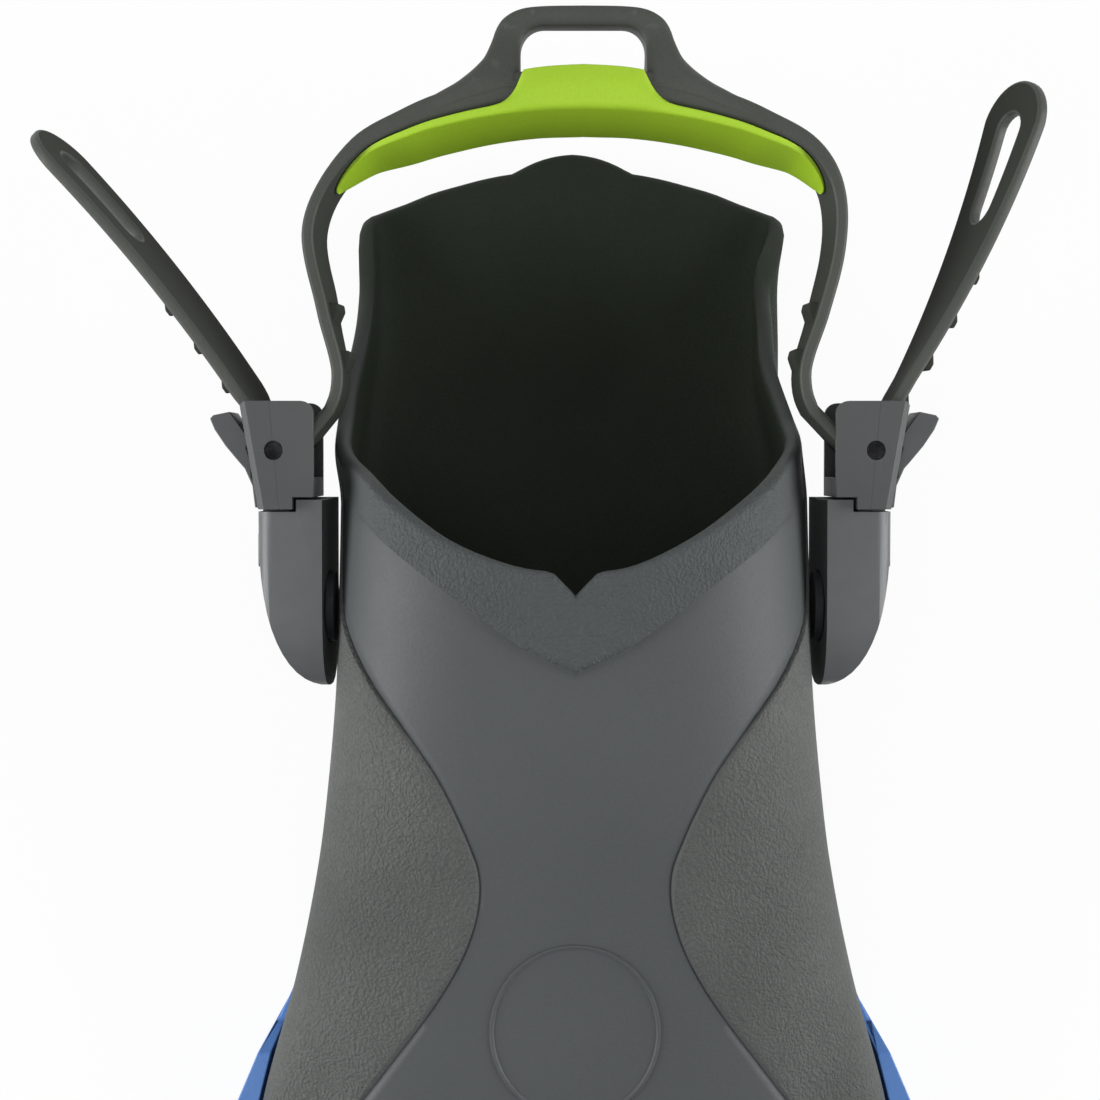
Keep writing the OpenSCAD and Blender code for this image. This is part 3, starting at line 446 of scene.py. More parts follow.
class HalfStrap:
    """One half of the strap's route, from the heel to a tail's tip, by length along it."""

    def __init__(self, side):
        lie = LIE[side]
        start, end = lie["heading"]
        first_lean, last_lean = lie["tail_lean"]
        self.slack = lie["slack"]
        self.sign = SIDES[side]
        # Each row is a centre, a thickness and a lean
        rows = []
        for i in range(HALF_STEPS):
            at = side_at(i)
            at.x += lie["spread"] * hump(at.y, (55, 70), (92, 106))
            at.x += lie["entry"] * (1 - ease(at.y, 54, 76))
            lean = lie["side_lean"] * hump(i, (18, 50), (88, 111))
            rows.append((at, side_thickness(i), lean))
        entry = rows[-1][0]
        to_pin = Vector((PIN_U, PIN_P)) - entry
        turn = math.atan2(to_pin.y, to_pin.x) - math.asin(WRAP_R / to_pin.length) - math.pi / 2
        for i in range(WRAP_STEPS):
            a = turn * (1 - i / (WRAP_STEPS - 1))
            rows.append((Vector((PIN_U, PIN_P)) + WRAP_R * Vector((math.cos(a), math.sin(a))), STRAP_T, 0.0))
        self.tail_row = len(rows) - 1
        at = rows[-1][0].copy()
        for i in range(1, int(TAIL_LEN) + 1):
            bent = i - 0.5 - TAIL_STRAIGHT
            heading = start * max(0, bent) / TAIL_BEND
            if bent >= TAIL_BEND:
                heading = start + (end - start) * (bent - TAIL_BEND) / (TAIL_LEN - TAIL_STRAIGHT - TAIL_BEND)
            at = at + Vector((math.sin(math.radians(heading)), math.cos(math.radians(heading))))
            twist = (last_lean - first_lean) * clamp((i - TAIL_TWIST_START) / TAIL_TWIST_LEN)
            lean = first_lean * ease(i, *TAIL_LEAN_START) + twist
            rows.append((at.copy(), STRAP_T, -lean))
        self.rows = rows
        self.lengths = [0.0]
        for before, after in zip(rows, rows[1:]):
            self.lengths.append(self.lengths[-1] + (after[0] - before[0]).length)
        self.total = self.lengths[-1]
        self.tail_start = self.lengths[self.tail_row]

    def at(self, length):
        """Centre, outward way, thickness and lean of the strap at a length from the heel."""
        length = clamp(length, 0, self.total)
        low, high = 0, len(self.rows) - 2
        while low < high:
            middle = (low + high + 1) // 2
            if self.lengths[middle] <= length:
                low = middle
            else:
                high = middle - 1
        r = (length - self.lengths[low]) / (self.lengths[low + 1] - self.lengths[low])
        before, after = self.rows[low], self.rows[low + 1]

        def way(k):
            return (self.rows[min(k + 1, len(self.rows) - 1)][0] - self.rows[max(k - 1, 0)][0]).normalized()

        along = way(low).lerp(way(low + 1), r).normalized()
        centre = before[0].lerp(after[0], r)
        thick = before[1] + (after[1] - before[1]) * r
        lean = math.radians(before[2] + (after[2] - before[2]) * r)
        return centre, Vector((-along.y, along.x)), thick, lean

    def point(self, length, depth, q):
        """Point at a depth out from the strap's middle and a height q, with the strap leaning outwards."""
        centre, out, _, lean = self.at(length)
        flat = centre + out * (depth * math.cos(lean) + q * math.sin(lean))
        return in_strap_plane(self.sign * flat.x, flat.y, q * math.cos(lean) - depth * math.sin(lean))


HALVES = {side: HalfStrap(side) for side in SIDES}


def strap_point(length, depth, q):
    """Point of the bent strap, with lengths below 0 on the left half."""
    half = HALVES["right" if length >= 0 else "left"]
    return half.point(abs(length), depth, q)


def flat_shape(outlines, thickness, rounding, steps=3):
    """A flat plate with rounded edges from closed outlines in millimetres; inner outlines are holes."""
    shape = bpy.data.curves.new("outline", "CURVE")
    shape.dimensions = "2D"
    shape.fill_mode = "BOTH"
    shape.extrude = thickness / 2 - rounding
    shape.bevel_depth = rounding
    shape.bevel_resolution = steps
    shape.offset = -rounding
    for outline in outlines:
        spline = shape.splines.new("POLY")
        spline.points.add(len(outline) - 1)
        for point, (x, y) in zip(spline.points, outline):
            point.co = (x, y, 0, 1)
        spline.use_cyclic_u = True
    holder = bpy.data.objects.new("outline", shape)
    bpy.context.scene.collection.objects.link(holder)
    mesh = bpy.data.meshes.new_from_object(holder.evaluated_get(bpy.context.evaluated_depsgraph_get()))
    bm = bmesh.new()
    bm.from_mesh(mesh)
    bpy.data.objects.remove(holder)
    bpy.data.curves.remove(shape)
    bpy.data.meshes.remove(mesh)
    bmesh.ops.remove_doubles(bm, verts=bm.verts, dist=1e-4)
    return bm


def cut_across(bm, places, normal=(1, 0, 0)):
    """Cuts a plate at each place along an axis, so that it can bend there."""
    for place in places:
        geometry = bm.verts[:] + bm.edges[:] + bm.faces[:]
        bmesh.ops.bisect_plane(bm, geom=geometry, plane_co=Vector(normal) * place, plane_no=normal, dist=1e-5)


def arc(x, y, radius, start, end, steps):
    """Points of an arc, with angles in degrees."""
    angles = [math.radians(start + (end - start) * i / steps) for i in range(steps + 1)]
    return [(x + radius * math.cos(a), y + radius * math.sin(a)) for a in angles]


SLOT_LEN = 27.0
SLOT_W = 8.5
SLOT_MARGIN = 8.0
EDGE_ROUND = 0.85
# The flat strap is cut every BEND_STEP along its length, and along its face at these heights
BEND_STEP = 1.6
FACE_LINES = (-7.5, 0.0, 7.5)
# Lengths from the heel between which the strap's broad faces turn dark with painted shade
DARK_START, DARK_END = 44, 84


def finger_slot(tip):
    """Outline of the long hole near a tail's tip, as seen on the flat strap."""
    way = 1 if tip > 0 else -1
    near = tip - way * (SLOT_MARGIN + SLOT_W / 2)
    far = tip - way * (SLOT_MARGIN + SLOT_LEN - SLOT_W / 2)
    low, high = min(near, far), max(near, far)
    return arc(high, 0, SLOT_W / 2, -90, 90, 12) + arc(low, 0, SLOT_W / 2, 90, 270, 12)


# Mask of the painted shade on the strap's broad faces
STRAP_SHADE_MASK = "broad_face_shade"


def strap_band():
    """The whole strap cut flat with its finger slots, then bent along its route."""
    low, high = -HALVES["left"].total, HALVES["right"].total
    half = STRAP_W / 2
    edge = arc(high - half, 0, half, -90, 90, 24) + arc(low + half, 0, half, 90, 270, 24)
    bm = flat_shape([edge, finger_slot(high), finger_slot(low)], STRAP_T, EDGE_ROUND)
    cut_across(bm, [low + BEND_STEP * (i + 0.5) for i in range(int((high - low) / BEND_STEP))])
    cut_across(bm, FACE_LINES, (0, 1, 0))
    face_shade = bm.verts.layers.float.new(STRAP_SHADE_MASK)
    for vert in bm.verts:
        length, q, depth = vert.co
        flat = abs(depth) > STRAP_T / 2 - 0.01
        vert[face_shade] = ease(abs(length), DARK_START, DARK_END) if flat else 0.0
        thick = HALVES["right" if length >= 0 else "left"].at(abs(length))[2]
        vert.co = strap_point(length, depth * thick / STRAP_T, q) * MM
    return bm


TOOTH_PITCH, TOOTH_LEN, TOOTH_H, TOOTH_W = 11.2, 6.0, 1.9, 14.0
TOOTH_TOP, TOOTH_TAPER, TOOTH_ROOT, TOOTH_ROUND = (0.5, 2.3), 1.2, 0.5, 0.45
TOOTH_CUTS = (1.5, 3.0, 4.5)
FIRST_TOOTH = 4.9
TAIL_TEETH = 4
# Lengths from the heel of the two teeth before the plug
SIDE_TEETH = (105.0, 93.5)


def ratchet_tooth(half, start):
    """A wedge on the strap: steep towards the buckle, with a long ramp behind, all edges rounded."""
    bm = bmesh.new()
    bmesh.ops.create_cube(bm, size=1.0)
    for vert in bm.verts:
        along, depth, q = vert.co
        if depth > 0:
            vert.co = (TOOTH_TOP[0 if along < 0 else 1], TOOTH_H, q * (TOOTH_W - TOOTH_TAPER))
        else:
            vert.co = (0.0 if along < 0 else TOOTH_LEN, -TOOTH_ROOT, q * TOOTH_W)
    top = [edge for edge in bm.edges if max(vert.co.y for vert in edge.verts) > 0]
    bmesh.ops.bevel(bm, geom=top, offset=TOOTH_ROUND, segments=3, profile=0.5, affect="EDGES", material=-1)
    cut_across(bm, TOOTH_CUTS)
    for vert in bm.verts:
        along, depth, q = vert.co
        thick = half.at(start + along)[2] / 2
        vert.co = half.point(start + along, -(thick + depth), q) * MM
    bmesh.ops.recalc_face_normals(bm, faces=bm.faces)
    return bm


def joined(target, extra):
    """Adds one bmesh to another."""
    mesh = bpy.data.meshes.new("part")
    extra.to_mesh(mesh)
    extra.free()
    target.from_mesh(mesh)
    bpy.data.meshes.remove(mesh)


# Outside of the finger loop: half width against distance ahead of its bar
LOOP_DROP = [[0, 0], [10, 0.2], [14.9, 0.95], [18.4, 2.9], [20.2, 5.4], [21.3, 8.5], [23.2, 12.5],
             [28.2, 17.3], [33.7, 20.5], [37.3, 22.4], [43, 26.6]]
# Front edge of the loop, inside the strap
LOOP_FRONT = [(43, APEX - 12), (36, APEX - 8.9), (27, APEX - 5), (18, APEX - 2.6), (12, APEX - 2)]
LOOP_CORNER, LOOP_ROUND, LOOP_RISE = 5.5, 2.2, 2.2
LOOP_EXTRA_W = 0.5
# Where the flat loop is cut so that it can be shaped
LOOP_CUTS_BACK, LOOP_CUTS_ACROSS = range(109, 140), range(21, 43, 2)
# Shares of its height that the loop loses at its bar and at its flared ends
BAR_SLIM, FLARE_SLIM = 0.6, 0.06


def finger_loop():
    """Pull loop behind the heel, flaring into the strap on both sides and thinning towards its bar."""
    outer = [(u / 2, LOOP_REAR - curve(LOOP_DROP, u / 2)) for u in range(87)]
    half = outer + LOOP_FRONT
    edge = half + [(-u, p) for u, p in reversed(half)][:-1]
    low, high, r = STRAP_REACH - 1.0, LOOP_REAR - LOOP_BAR_T, LOOP_CORNER
    hole = arc(LOOP_HALF_W - r, high - r, r, 0, 90, 10) + arc(r - LOOP_HALF_W, high - r, r, 90, 180, 10)
    hole = [(LOOP_HALF_W, low)] + hole + [(-LOOP_HALF_W, low)]
    bm = flat_shape([edge, hole], STRAP_W + LOOP_EXTRA_W, LOOP_ROUND, 6)
    cut_across(bm, LOOP_CUTS_BACK, (0, 1, 0))
    cut_across(bm, [way * u for u in LOOP_CUTS_ACROSS for way in (-1, 1)])
    for vert in bm.verts:
        u, p, q = vert.co
        slim = 1 - BAR_SLIM * ease(p, STRAP_REACH - 3, LOOP_REAR - 5) - FLARE_SLIM * ease(abs(u), 31, 43)
        vert.co = in_strap_plane(u, p, q * slim + LOOP_RISE * ease(p, STRAP_REACH, LOOP_REAR)) * MM
    bmesh.ops.recalc_face_normals(bm, faces=bm.faces)
    return bm


def whole_strap():
    """The bent strap with its teeth and its finger loop."""
    bm = strap_band()
    band_verts = len(bm.verts)
    for half in HALVES.values():
        first = half.tail_start + FIRST_TOOTH + half.slack
        for start in [first + i * TOOTH_PITCH for i in range(TAIL_TEETH)] + list(SIDE_TEETH):
            joined(bm, ratchet_tooth(half, start))
    face_shade = bm.verts.layers.float[STRAP_SHADE_MASK]
    # The teeth take the full painted shade of the broad faces
    for vert in list(bm.verts)[band_verts:]:
        vert[face_shade] = 1.0
    joined(bm, finger_loop())
    bmesh.ops.recalc_face_normals(bm, faces=bm.faces)
    return bm


# Heel pad: a soft form on the foot side of the strap, crowned and drawn in towards its ends

PAD_HALF_LEN = 66.0
PAD_TOP_T, PAD_BASE_T = 2.3, 6.5
PAD_HALF_H = 13.0
PAD_GAP = 0.3
# Least shares of height and thickness at the pad's ends
LEAST_END, LEAST_SLIM = 0.03, 0.12
# The lip over the strap's edge: its reach, its swell in the middle, and where and how fast it fades
PAD_LIP, LIP_SWELL, LIP_MIDDLE = 7.0, 0.5, 14
LIP_END, LIP_FADE, LIP_LEAST = 13.6, 13, 0.05
PAD_SHELF = 11.3
PAD_ROWS = 200
CORNER_STEPS = 6


def rounded_corners(corners):
    """Points of a closed outline with each corner (x, y, radius) rounded in the same number of steps."""
    points = []
    for i, (x, y, radius) in enumerate(corners):
        here = Vector((x, y))
        back = Vector(corners[i - 1][:2]) - here
        ahead = Vector(corners[(i + 1) % len(corners)][:2]) - here
        reach = min(radius, 0.45 * back.length, 0.45 * ahead.length)
        for k in range(CORNER_STEPS + 1):
            r = k / CORNER_STEPS
            point = here + back.normalized() * reach * (1 - r) ** 2 + ahead.normalized() * reach * r * r
            points.append(point)
    return points


def pad_section(s):
    """Outline across the pad at a length along the strap: a leaning face and a lip over the strap's edge."""
    away = abs(s)
    end = max(LEAST_END, math.sqrt(max(0.0, 1 - (away / PAD_HALF_LEN) ** 4)))
    slim = max(LEAST_SLIM, math.cos(math.pi / 2 * away / PAD_HALF_LEN) ** 0.6)
    half = HALVES["right" if s >= 0 else "left"]
    back = -half.at(away)[2] / 2 - PAD_GAP
    lip = PAD_LIP + LIP_SWELL * max(0, 1 - (away / LIP_MIDDLE) ** 2)
    lip = LIP_LEAST + lip * (1 - clamp((away - LIP_END) / LIP_FADE)) ** 4
    high, low = PAD_HALF_H * end, -PAD_HALF_H * end
    shelf = min(PAD_SHELF, high - 0.4 * end)
    top, base = PAD_TOP_T * slim, PAD_BASE_T * slim
    roll = high - 0.75 * (high - shelf)
    corners = [(0, low, 0.8), (0, shelf, 0.1), (lip, shelf, 0.1), (lip, roll, 0.4), (0.5 * lip, high, 2.5),
               (-top, high, 2.0), (-0.56 * (top + base), 0.1 * high, 9.0), (-base, low, 2.2)]
    return [strap_point(s, back + x, q) for x, q in rounded_corners(corners)]


PAD_TURNS = [math.pi * (row / PAD_ROWS - 0.5) for row in range(PAD_ROWS + 1)]
PAD_SECTIONS = [pad_section(PAD_HALF_LEN * math.sin(turn)) for turn in PAD_TURNS]


def pad_place(column, row):
    """Point of the pad's skin."""
    section = PAD_SECTIONS[row]
    return section[column % len(section)], ()


# Bare round badge on the toe, with a fine raised rim, laid on the pocket's surface

BADGE_Y = -99.0
BADGE_STEPS = 120
# Radius and height of each ring of points
BADGE_RINGS = [(0.0, 0.06), (6, 0.06), (12, 0.06), (16.5, 0.06), (18.1, 0.06), (18.4, 0.1), (18.65, 0.42),
               (18.95, 0.55), (19.2, 0.5), (19.4, 0.2), (19.5, -0.3)]


def badge_place(column, row):
    """Point of the badge, which has no grain, painted shade or band."""
    radius, lift = BADGE_RINGS[row]
    a = 2 * math.pi * column / BADGE_STEPS
    x, y = radius * math.cos(a), BADGE_Y + radius * math.sin(a)
    point = outer_point(angle_at(abs(x), y), y, lift - MIDDLE_DROP)
    return Vector((x, point.y, point.z)), (0.0, 0.0, 0.0)


# Moulded hard parts: their solid forms with rounded edges

MOULD_SHARP = math.radians(38)
FLAT_WITHIN = math.radians(0.6)


def outer_top_edges(bm):
    """Edges between the top of a part and the walls that face away from the foot."""
    up = Vector((0, -math.sin(PITCH), math.cos(PITCH)))
    found = []
    for edge in bm.edges:
        if len(edge.link_faces) == 2:
            top, wall = sorted(edge.link_faces, key=lambda face: -face.normal.dot(up))
            away = wall.normal.x * math.copysign(1, edge.verts[0].co.x)
            if top.normal.dot(up) > 0.95 and abs(wall.normal.dot(up)) < 0.3 and away > 0.15:
                found.append(edge)
    return found


def moulded(node, body, material, rounding, crown=0.0):
    """A solid part with merged triangles, rounded edges and, where asked, a crowned outer top edge."""
    bm = bmesh.new()
    bm.from_mesh(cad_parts[node].data)
    bmesh.ops.remove_doubles(bm, verts=bm.verts, dist=WELD)
    bmesh.ops.dissolve_limit(bm, angle_limit=FLAT_WITHIN, verts=bm.verts, edges=bm.edges)
    if crown:
        bmesh.ops.bevel(bm, geom=outer_top_edges(bm), offset=crown * MM, segments=6, profile=0.5,
                        affect="EDGES", clamp_overlap=True, material=-1)
    piece = finished(node + "_form", bm, body, material, [node], MOULD_SHARP)
    rounded = piece.modifiers.new("rounded edges", "BEVEL")
    rounded.width = rounding * MM
    rounded.segments = 3
    rounded.limit_method = "ANGLE"
    rounded.angle_limit = MOULD_SHARP
    rounded.use_clamp_overlap = True
    rounded.harden_normals = True
    if crown:
        shading = piece.modifiers.new("flat faces", "WEIGHTED_NORMAL")
        shading.keep_sharp = True


def leaf_spring(side, material):
    """The lever's leaf spring: its inner end stays in the plug and its outer end follows the lever's heel."""
    node = "lever_spring_" + side
    bm = bmesh.new()
    bm.from_mesh(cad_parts[node].data)
    bmesh.ops.remove_doubles(bm, verts=bm.verts, dist=WELD)
    middle = sum((vert.co for vert in bm.verts), Vector()) / len(bm.verts)
    inner, outer = sorted((pick(vert.co.x for vert in bm.verts) for pick in (min, max)), key=abs)
    piece = finished(node + "_form", bm, None, material, [node])
    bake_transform(piece, "strap", side + "_lever", start=(inner, middle.y, middle.z),
             end=(outer, middle.y, middle.z))


# Materials


def tone(code):
    """Linear colour of a six-digit screen colour."""
    parts = [int(code[i:i + 2], 16) / 255 for i in (0, 2, 4)]
    return tuple(c / 12.92 if c <= 0.04045 else ((c + 0.055) / 1.055) ** 2.4 for c in parts) + (1.0,)


def add(tree, kind, settings=None, **inputs):
    """Adds a node, with settings for its fields and values or links for its inputs; i0 is its first input."""
    node = tree.nodes.new(kind)
    for field, value in (settings or {}).items():
        setattr(node, field, value)
    for name, value in inputs.items():
        numbered = name[0] == "i" and name[1:].isdigit()
        socket = node.inputs[int(name[1:]) if numbered else name]
        if isinstance(value, bpy.types.NodeSocket):
            tree.links.new(value, socket)
        else:
            socket.default_value = value
    return node


def mix_colour(tree, share, first, second):
    """Colour between two others: the first at share 0, the second at 1."""
    return add(tree, "ShaderNodeMix", {"data_type": "RGBA"}, Factor=share, i6=first, i7=second).outputs[2]


def mix_value(tree, share, first, second):
    """Value between two others: the first at share 0, the second at 1."""
    node = add(tree, "ShaderNodeMix", {"data_type": "FLOAT"}, Factor=share, A=first, B=second)
    return node.outputs["Result"]


def calculate(tree, operation, *values):
    """Result of a Math node."""
    inputs = {f"i{i}": value for i, value in enumerate(values)}
    return add(tree, "ShaderNodeMath", {"operation": operation}, **inputs).outputs["Value"]


def remap(tree, value, start, end, low=0.0, high=1.0, way="LINEAR"):
    """Value moved from one range to another and held at its ends."""
    node = add(tree, "ShaderNodeMapRange", {"interpolation_type": way}, i0=value, i1=start, i2=end, i3=low,
               i4=high)
    return node.outputs["Result"]


def attribute(tree, name):
    """A mask that is stored on the mesh."""
    return add(tree, "ShaderNodeAttribute", {"attribute_name": name}).outputs["Fac"]


def seen_directly(tree):
    """1 for camera, glossy and transmission rays, 0 for the others."""
    path = add(tree, "ShaderNodeLightPath").outputs
    seen = calculate(tree, "MAXIMUM", path["Is Camera Ray"], path["Is Glossy Ray"])
    return calculate(tree, "MAXIMUM", seen, path["Is Transmission Ray"])


def group(name, inputs, outputs):
    """A new shader group with named float or colour sockets."""
    tree = bpy.data.node_groups.new(name, "ShaderNodeTree")
    for label, kind, value in inputs:
        socket = tree.interface.new_socket(name=label, in_out="INPUT", socket_type="NodeSocket" + kind)
        socket.default_value = value
    for label, kind in outputs:
        tree.interface.new_socket(name=label, in_out="OUTPUT", socket_type="NodeSocket" + kind)
    return tree, tree.nodes.new("NodeGroupInput").outputs, tree.nodes.new("NodeGroupOutput").inputs


def make_grain():
    """Leathery mould grain: small soft pebbles of uneven size, over a finer noise."""
    tree, given, result = group("moulded grain", [("Size", "Float", 900.0), ("Fine", "Float", 0.4)],
                                [("Height", "Float")])
    place = add(tree, "ShaderNodeTexCoord").outputs["Object"]
    warp = add(tree, "ShaderNodeTexNoise", Vector=place, Scale=160.0, Detail=2.0)
    shift = add(tree, "ShaderNodeVectorMath", {"operation": "SCALE"}, i0=warp.outputs["Color"], Scale=0.0035)
    moved = add(tree, "ShaderNodeVectorMath", {"operation": "ADD"}, i0=place, i1=shift.outputs["Vector"])
    pebble = add(tree, "ShaderNodeTexVoronoi", {"feature": "SMOOTH_F1"}, Vector=moved.outputs["Vector"],
                 Scale=given["Size"], Smoothness=0.55)
    fine = add(tree, "ShaderNodeTexNoise", Vector=place, Scale=2600.0, Detail=3.0, Roughness=0.6)
    both = mix_value(tree, given["Fine"], pebble.outputs["Distance"], fine.outputs["Fac"])
    tree.links.new(both, result["Height"])
    return tree


def make_tone():
    """Slow change of colour and gloss over a moulding, as handling and water leave it."""
    tree, given, result = group("handled tone",
                                [("Light", "Color", (1, 1, 1, 1)), ("Dark", "Color", (0, 0, 0, 1)),
                                 ("Size", "Float", 30.0), ("Gloss", "Float", 0.4), ("Matt", "Float", 0.6)],
                                [("Color", "Color"), ("Roughness", "Float")])
    place = add(tree, "ShaderNodeTexCoord").outputs["Object"]
    slow = add(tree, "ShaderNodeTexNoise", Vector=place, Scale=given["Size"], Detail=4.0, Roughness=0.55)
    speck = add(tree, "ShaderNodeTexNoise", Vector=place, Scale=1500.0, Detail=2.0)
    mixed = mix_value(tree, 0.35, slow.outputs["Fac"], speck.outputs["Fac"])
    spread = remap(tree, mixed, 0.36, 0.64)
    tree.links.new(mix_colour(tree, spread, given["Light"], given["Dark"]), result["Color"])
    tree.links.new(mix_value(tree, spread, given["Gloss"], given["Matt"]), result["Roughness"])
    return tree


def make_edge_highlight():
    """Mask of painted highlight on edges and corners, broken up by noise."""
    tree, given, result = group("painted edge highlight", [("Start", "Float", 0.51), ("End", "Float", 0.58)],
                                [("Mask", "Float")])
    sharp = add(tree, "ShaderNodeNewGeometry").outputs["Pointiness"]
    place = add(tree, "ShaderNodeTexCoord").outputs["Object"]
    broken = add(tree, "ShaderNodeTexNoise", Vector=place, Scale=240.0, Detail=3.0)
    edge = remap(tree, sharp, given["Start"], given["End"])
    mask = calculate(tree, "MULTIPLY", edge, broken.outputs["Fac"])
    tree.links.new(mask, result["Mask"])
    return tree


GRAIN = make_grain()
TONE = make_tone()
EDGE_HIGHLIGHT = make_edge_highlight()


def use(tree, shared, **inputs):
    """Places a shared group in a material, with its own values."""
    return add(tree, "ShaderNodeGroup", {"node_tree": shared}, **inputs).outputs


def new_material(name, specular=0.5):
    """A new material with its node tree and its shader."""
    material = bpy.data.materials.new(name)
    material.use_nodes = True
    shader = material.node_tree.nodes["Principled BSDF"]
    shader.inputs["Specular IOR Level"].default_value = specular
    return material, material.node_tree, shader


def plain_moulding(name, light, dark, edge, gloss, matt, size=30.0, bump=0.00006, fine=0.85, grain=1500.0,
                   specular=0.5):
    """A moulded material: handled tone, painted highlight in the edge colour on edges and corners, and a fine
    mould texture.
    """
    material, tree, shader = new_material(name, specular)
    look = use(tree, TONE, Light=tone(light), Dark=tone(dark), Size=size, Gloss=gloss, Matt=matt)
    # Painted highlight on edges and corners, in the edge colour
    highlight = use(tree, EDGE_HIGHLIGHT)
    colour = mix_colour(tree, highlight["Mask"], look["Color"], tone(edge))
    grains = use(tree, GRAIN, Size=grain, Fine=fine)
    bumps = add(tree, "ShaderNodeBump", Height=grains["Height"], Strength=0.6, Distance=bump)
    tree.links.new(colour, shader.inputs["Base Color"])
    tree.links.new(look["Roughness"], shader.inputs["Roughness"])
    tree.links.new(bumps.outputs["Normal"], shader.inputs["Normal"])
    return material


def pocket_material():
    """Grey rubber: grained side panels and band, smooth middle, painted near-black shade inside and darker
    towards the heel.
    """
    material, tree, shader = new_material("pocket_rubber")
    grain, inside, band = (attribute(tree, name) for name in POCKET_MASKS)
    smooth = use(tree, TONE, Light=tone("494c4d"), Dark=tone("444748"), Size=14.0, Gloss=0.5, Matt=0.6)
    rough = use(tree, TONE, Light=tone("585a58"), Dark=tone("4c4e4c"), Size=22.0, Gloss=0.58, Matt=0.72)
    # Near-black tone of the painted shade inside the cavity and towards the heel
    shade_tone = use(tree, TONE, Light=tone("2a2f28"), Dark=tone("222721"), Size=20.0, Gloss=0.6, Matt=0.75)
    grains = use(tree, GRAIN, Size=1350.0, Fine=0.3)
    skin = mix_colour(tree, grain, smooth["Color"], rough["Color"])
    outside = mix_colour(tree, band, skin, tone("454a4b"))
    # Painted shade in the grain's pits, on the grained skin
    depth = calculate(tree, "MULTIPLY", remap(tree, grains["Height"], 0.2, 0.6, 0.0, 0.34), grain)
    pit_shaded = mix_colour(tree, depth, outside, tone("3a3c3c"))
    # Painted shade laid over the skin's colour
    colour = mix_colour(tree, inside, pit_shaded, shade_tone["Color"])
    matt = mix_value(tree, grain, smooth["Roughness"], rough["Roughness"])
    height = calculate(tree, "MULTIPLY", grains["Height"], remap(tree, grain, 0.0, 1.0, 0.08, 1.0))
    bumps = add(tree, "ShaderNodeBump", Height=height, Strength=1.0, Distance=0.00045)
    sheen = remap(tree, inside, 0.0, 1.0, 0.26, 0.06)
    tree.links.new(sheen, shader.inputs["Specular IOR Level"])
    tree.links.new(colour, shader.inputs["Base Color"])
    tree.links.new(matt, shader.inputs["Roughness"])
    tree.links.new(bumps.outputs["Normal"], shader.inputs["Normal"])
    return material


def strap_material():
    """Rubber of the strap: broad faces darkened by painted shade, paler at the edges, behind the heel and on
    the finger loop.
    """
    material = plain_moulding("strap_rubber", "434541", "3b3d39", "4e504c", 0.46, 0.58, size=26.0,
                              bump=0.00005, fine=0.7, grain=1300.0)
    tree = material.node_tree
    shader = tree.nodes["Principled BSDF"]
    face_shade = attribute(tree, STRAP_SHADE_MASK)
    before = shader.inputs["Base Color"].links[0].from_socket
    # Painted shade darkens the broad faces of the sides and tails
    colour = mix_colour(tree, face_shade, before, tone("2f312c"))
    smooth = shader.inputs["Roughness"].links[0].from_socket
    matt = mix_value(tree, face_shade, smooth, 0.8)
    sheen = remap(tree, face_shade, 0.0, 1.0, 0.25, 0.1)
    tree.links.new(colour, shader.inputs["Base Color"])
    tree.links.new(matt, shader.inputs["Roughness"])
    tree.links.new(sheen, shader.inputs["Specular IOR Level"])
    return material


def plug_material():
    """Hard grey plastic with the fine parting line that runs through the pin hole."""
    material = plain_moulding("plug_plastic", "434545", "3f4142", "4a4c4e", 0.42, 0.5, specular=0.3)
    tree = material.node_tree
    shader = tree.nodes["Principled BSDF"]
    place = add(tree, "ShaderNodeTexCoord").outputs["Object"]
    split = add(tree, "ShaderNodeSeparateXYZ", Vector=place).outputs
    across = calculate(tree, "ABSOLUTE", split["X"])
    slant = 0.09
    line_half_w = 0.00022
    back = add(tree, "ShaderNodeVectorMath", {"operation": "DOT_PRODUCT"}, i0=place,
               i1=(0, math.cos(PITCH) * slant, math.sin(PITCH) * slant)).outputs["Value"]
    line_at = (PIN_U - slant * (PIN_P + STUD_H * math.sin(PITCH))) * MM
    off = calculate(tree, "SUBTRACT", across, back)
    near = calculate(tree, "ABSOLUTE", calculate(tree, "SUBTRACT", off, line_at))
    line = remap(tree, near, 0.0, line_half_w, 0.55, 0.0, "SMOOTHSTEP")
    before = shader.inputs["Base Color"].links[0].from_socket
    tree.links.new(mix_colour(tree, line, before, tone("2b2d2e")), shader.inputs["Base Color"])
    return material


def steel_material():
    """Dark drawn steel of the pins."""
    material, tree, shader = new_material("pin_steel")
    look = use(tree, TONE, Light=tone("242426"), Dark=tone("161618"), Size=400.0, Gloss=0.3, Matt=0.45)
    shader.inputs["Metallic"].default_value = 1.0
    tree.links.new(look["Color"], shader.inputs["Base Color"])
    tree.links.new(look["Roughness"], shader.inputs["Roughness"])
    return material


def floor_material():
    """White to the camera and in reflections, with a trace of the fin's shadow."""
    material = bpy.data.materials.new("floor_white")
    material.use_nodes = True
    tree = material.node_tree
    tree.nodes.remove(tree.nodes["Principled BSDF"])
    white_share = 0.93
    share = calculate(tree, "MULTIPLY", seen_directly(tree), white_share)
    matt = add(tree, "ShaderNodeBsdfDiffuse", Color=(0.82, 0.82, 0.82, 1))
    white = add(tree, "ShaderNodeEmission", Color=(1, 1, 1, 1), Strength=1.0)
    mixed = add(tree, "ShaderNodeMixShader", i0=share, i1=matt.outputs[0], i2=white.outputs[0])
    tree.links.new(mixed.outputs[0], tree.nodes["Material Output"].inputs["Surface"])
    return material


# Pieces

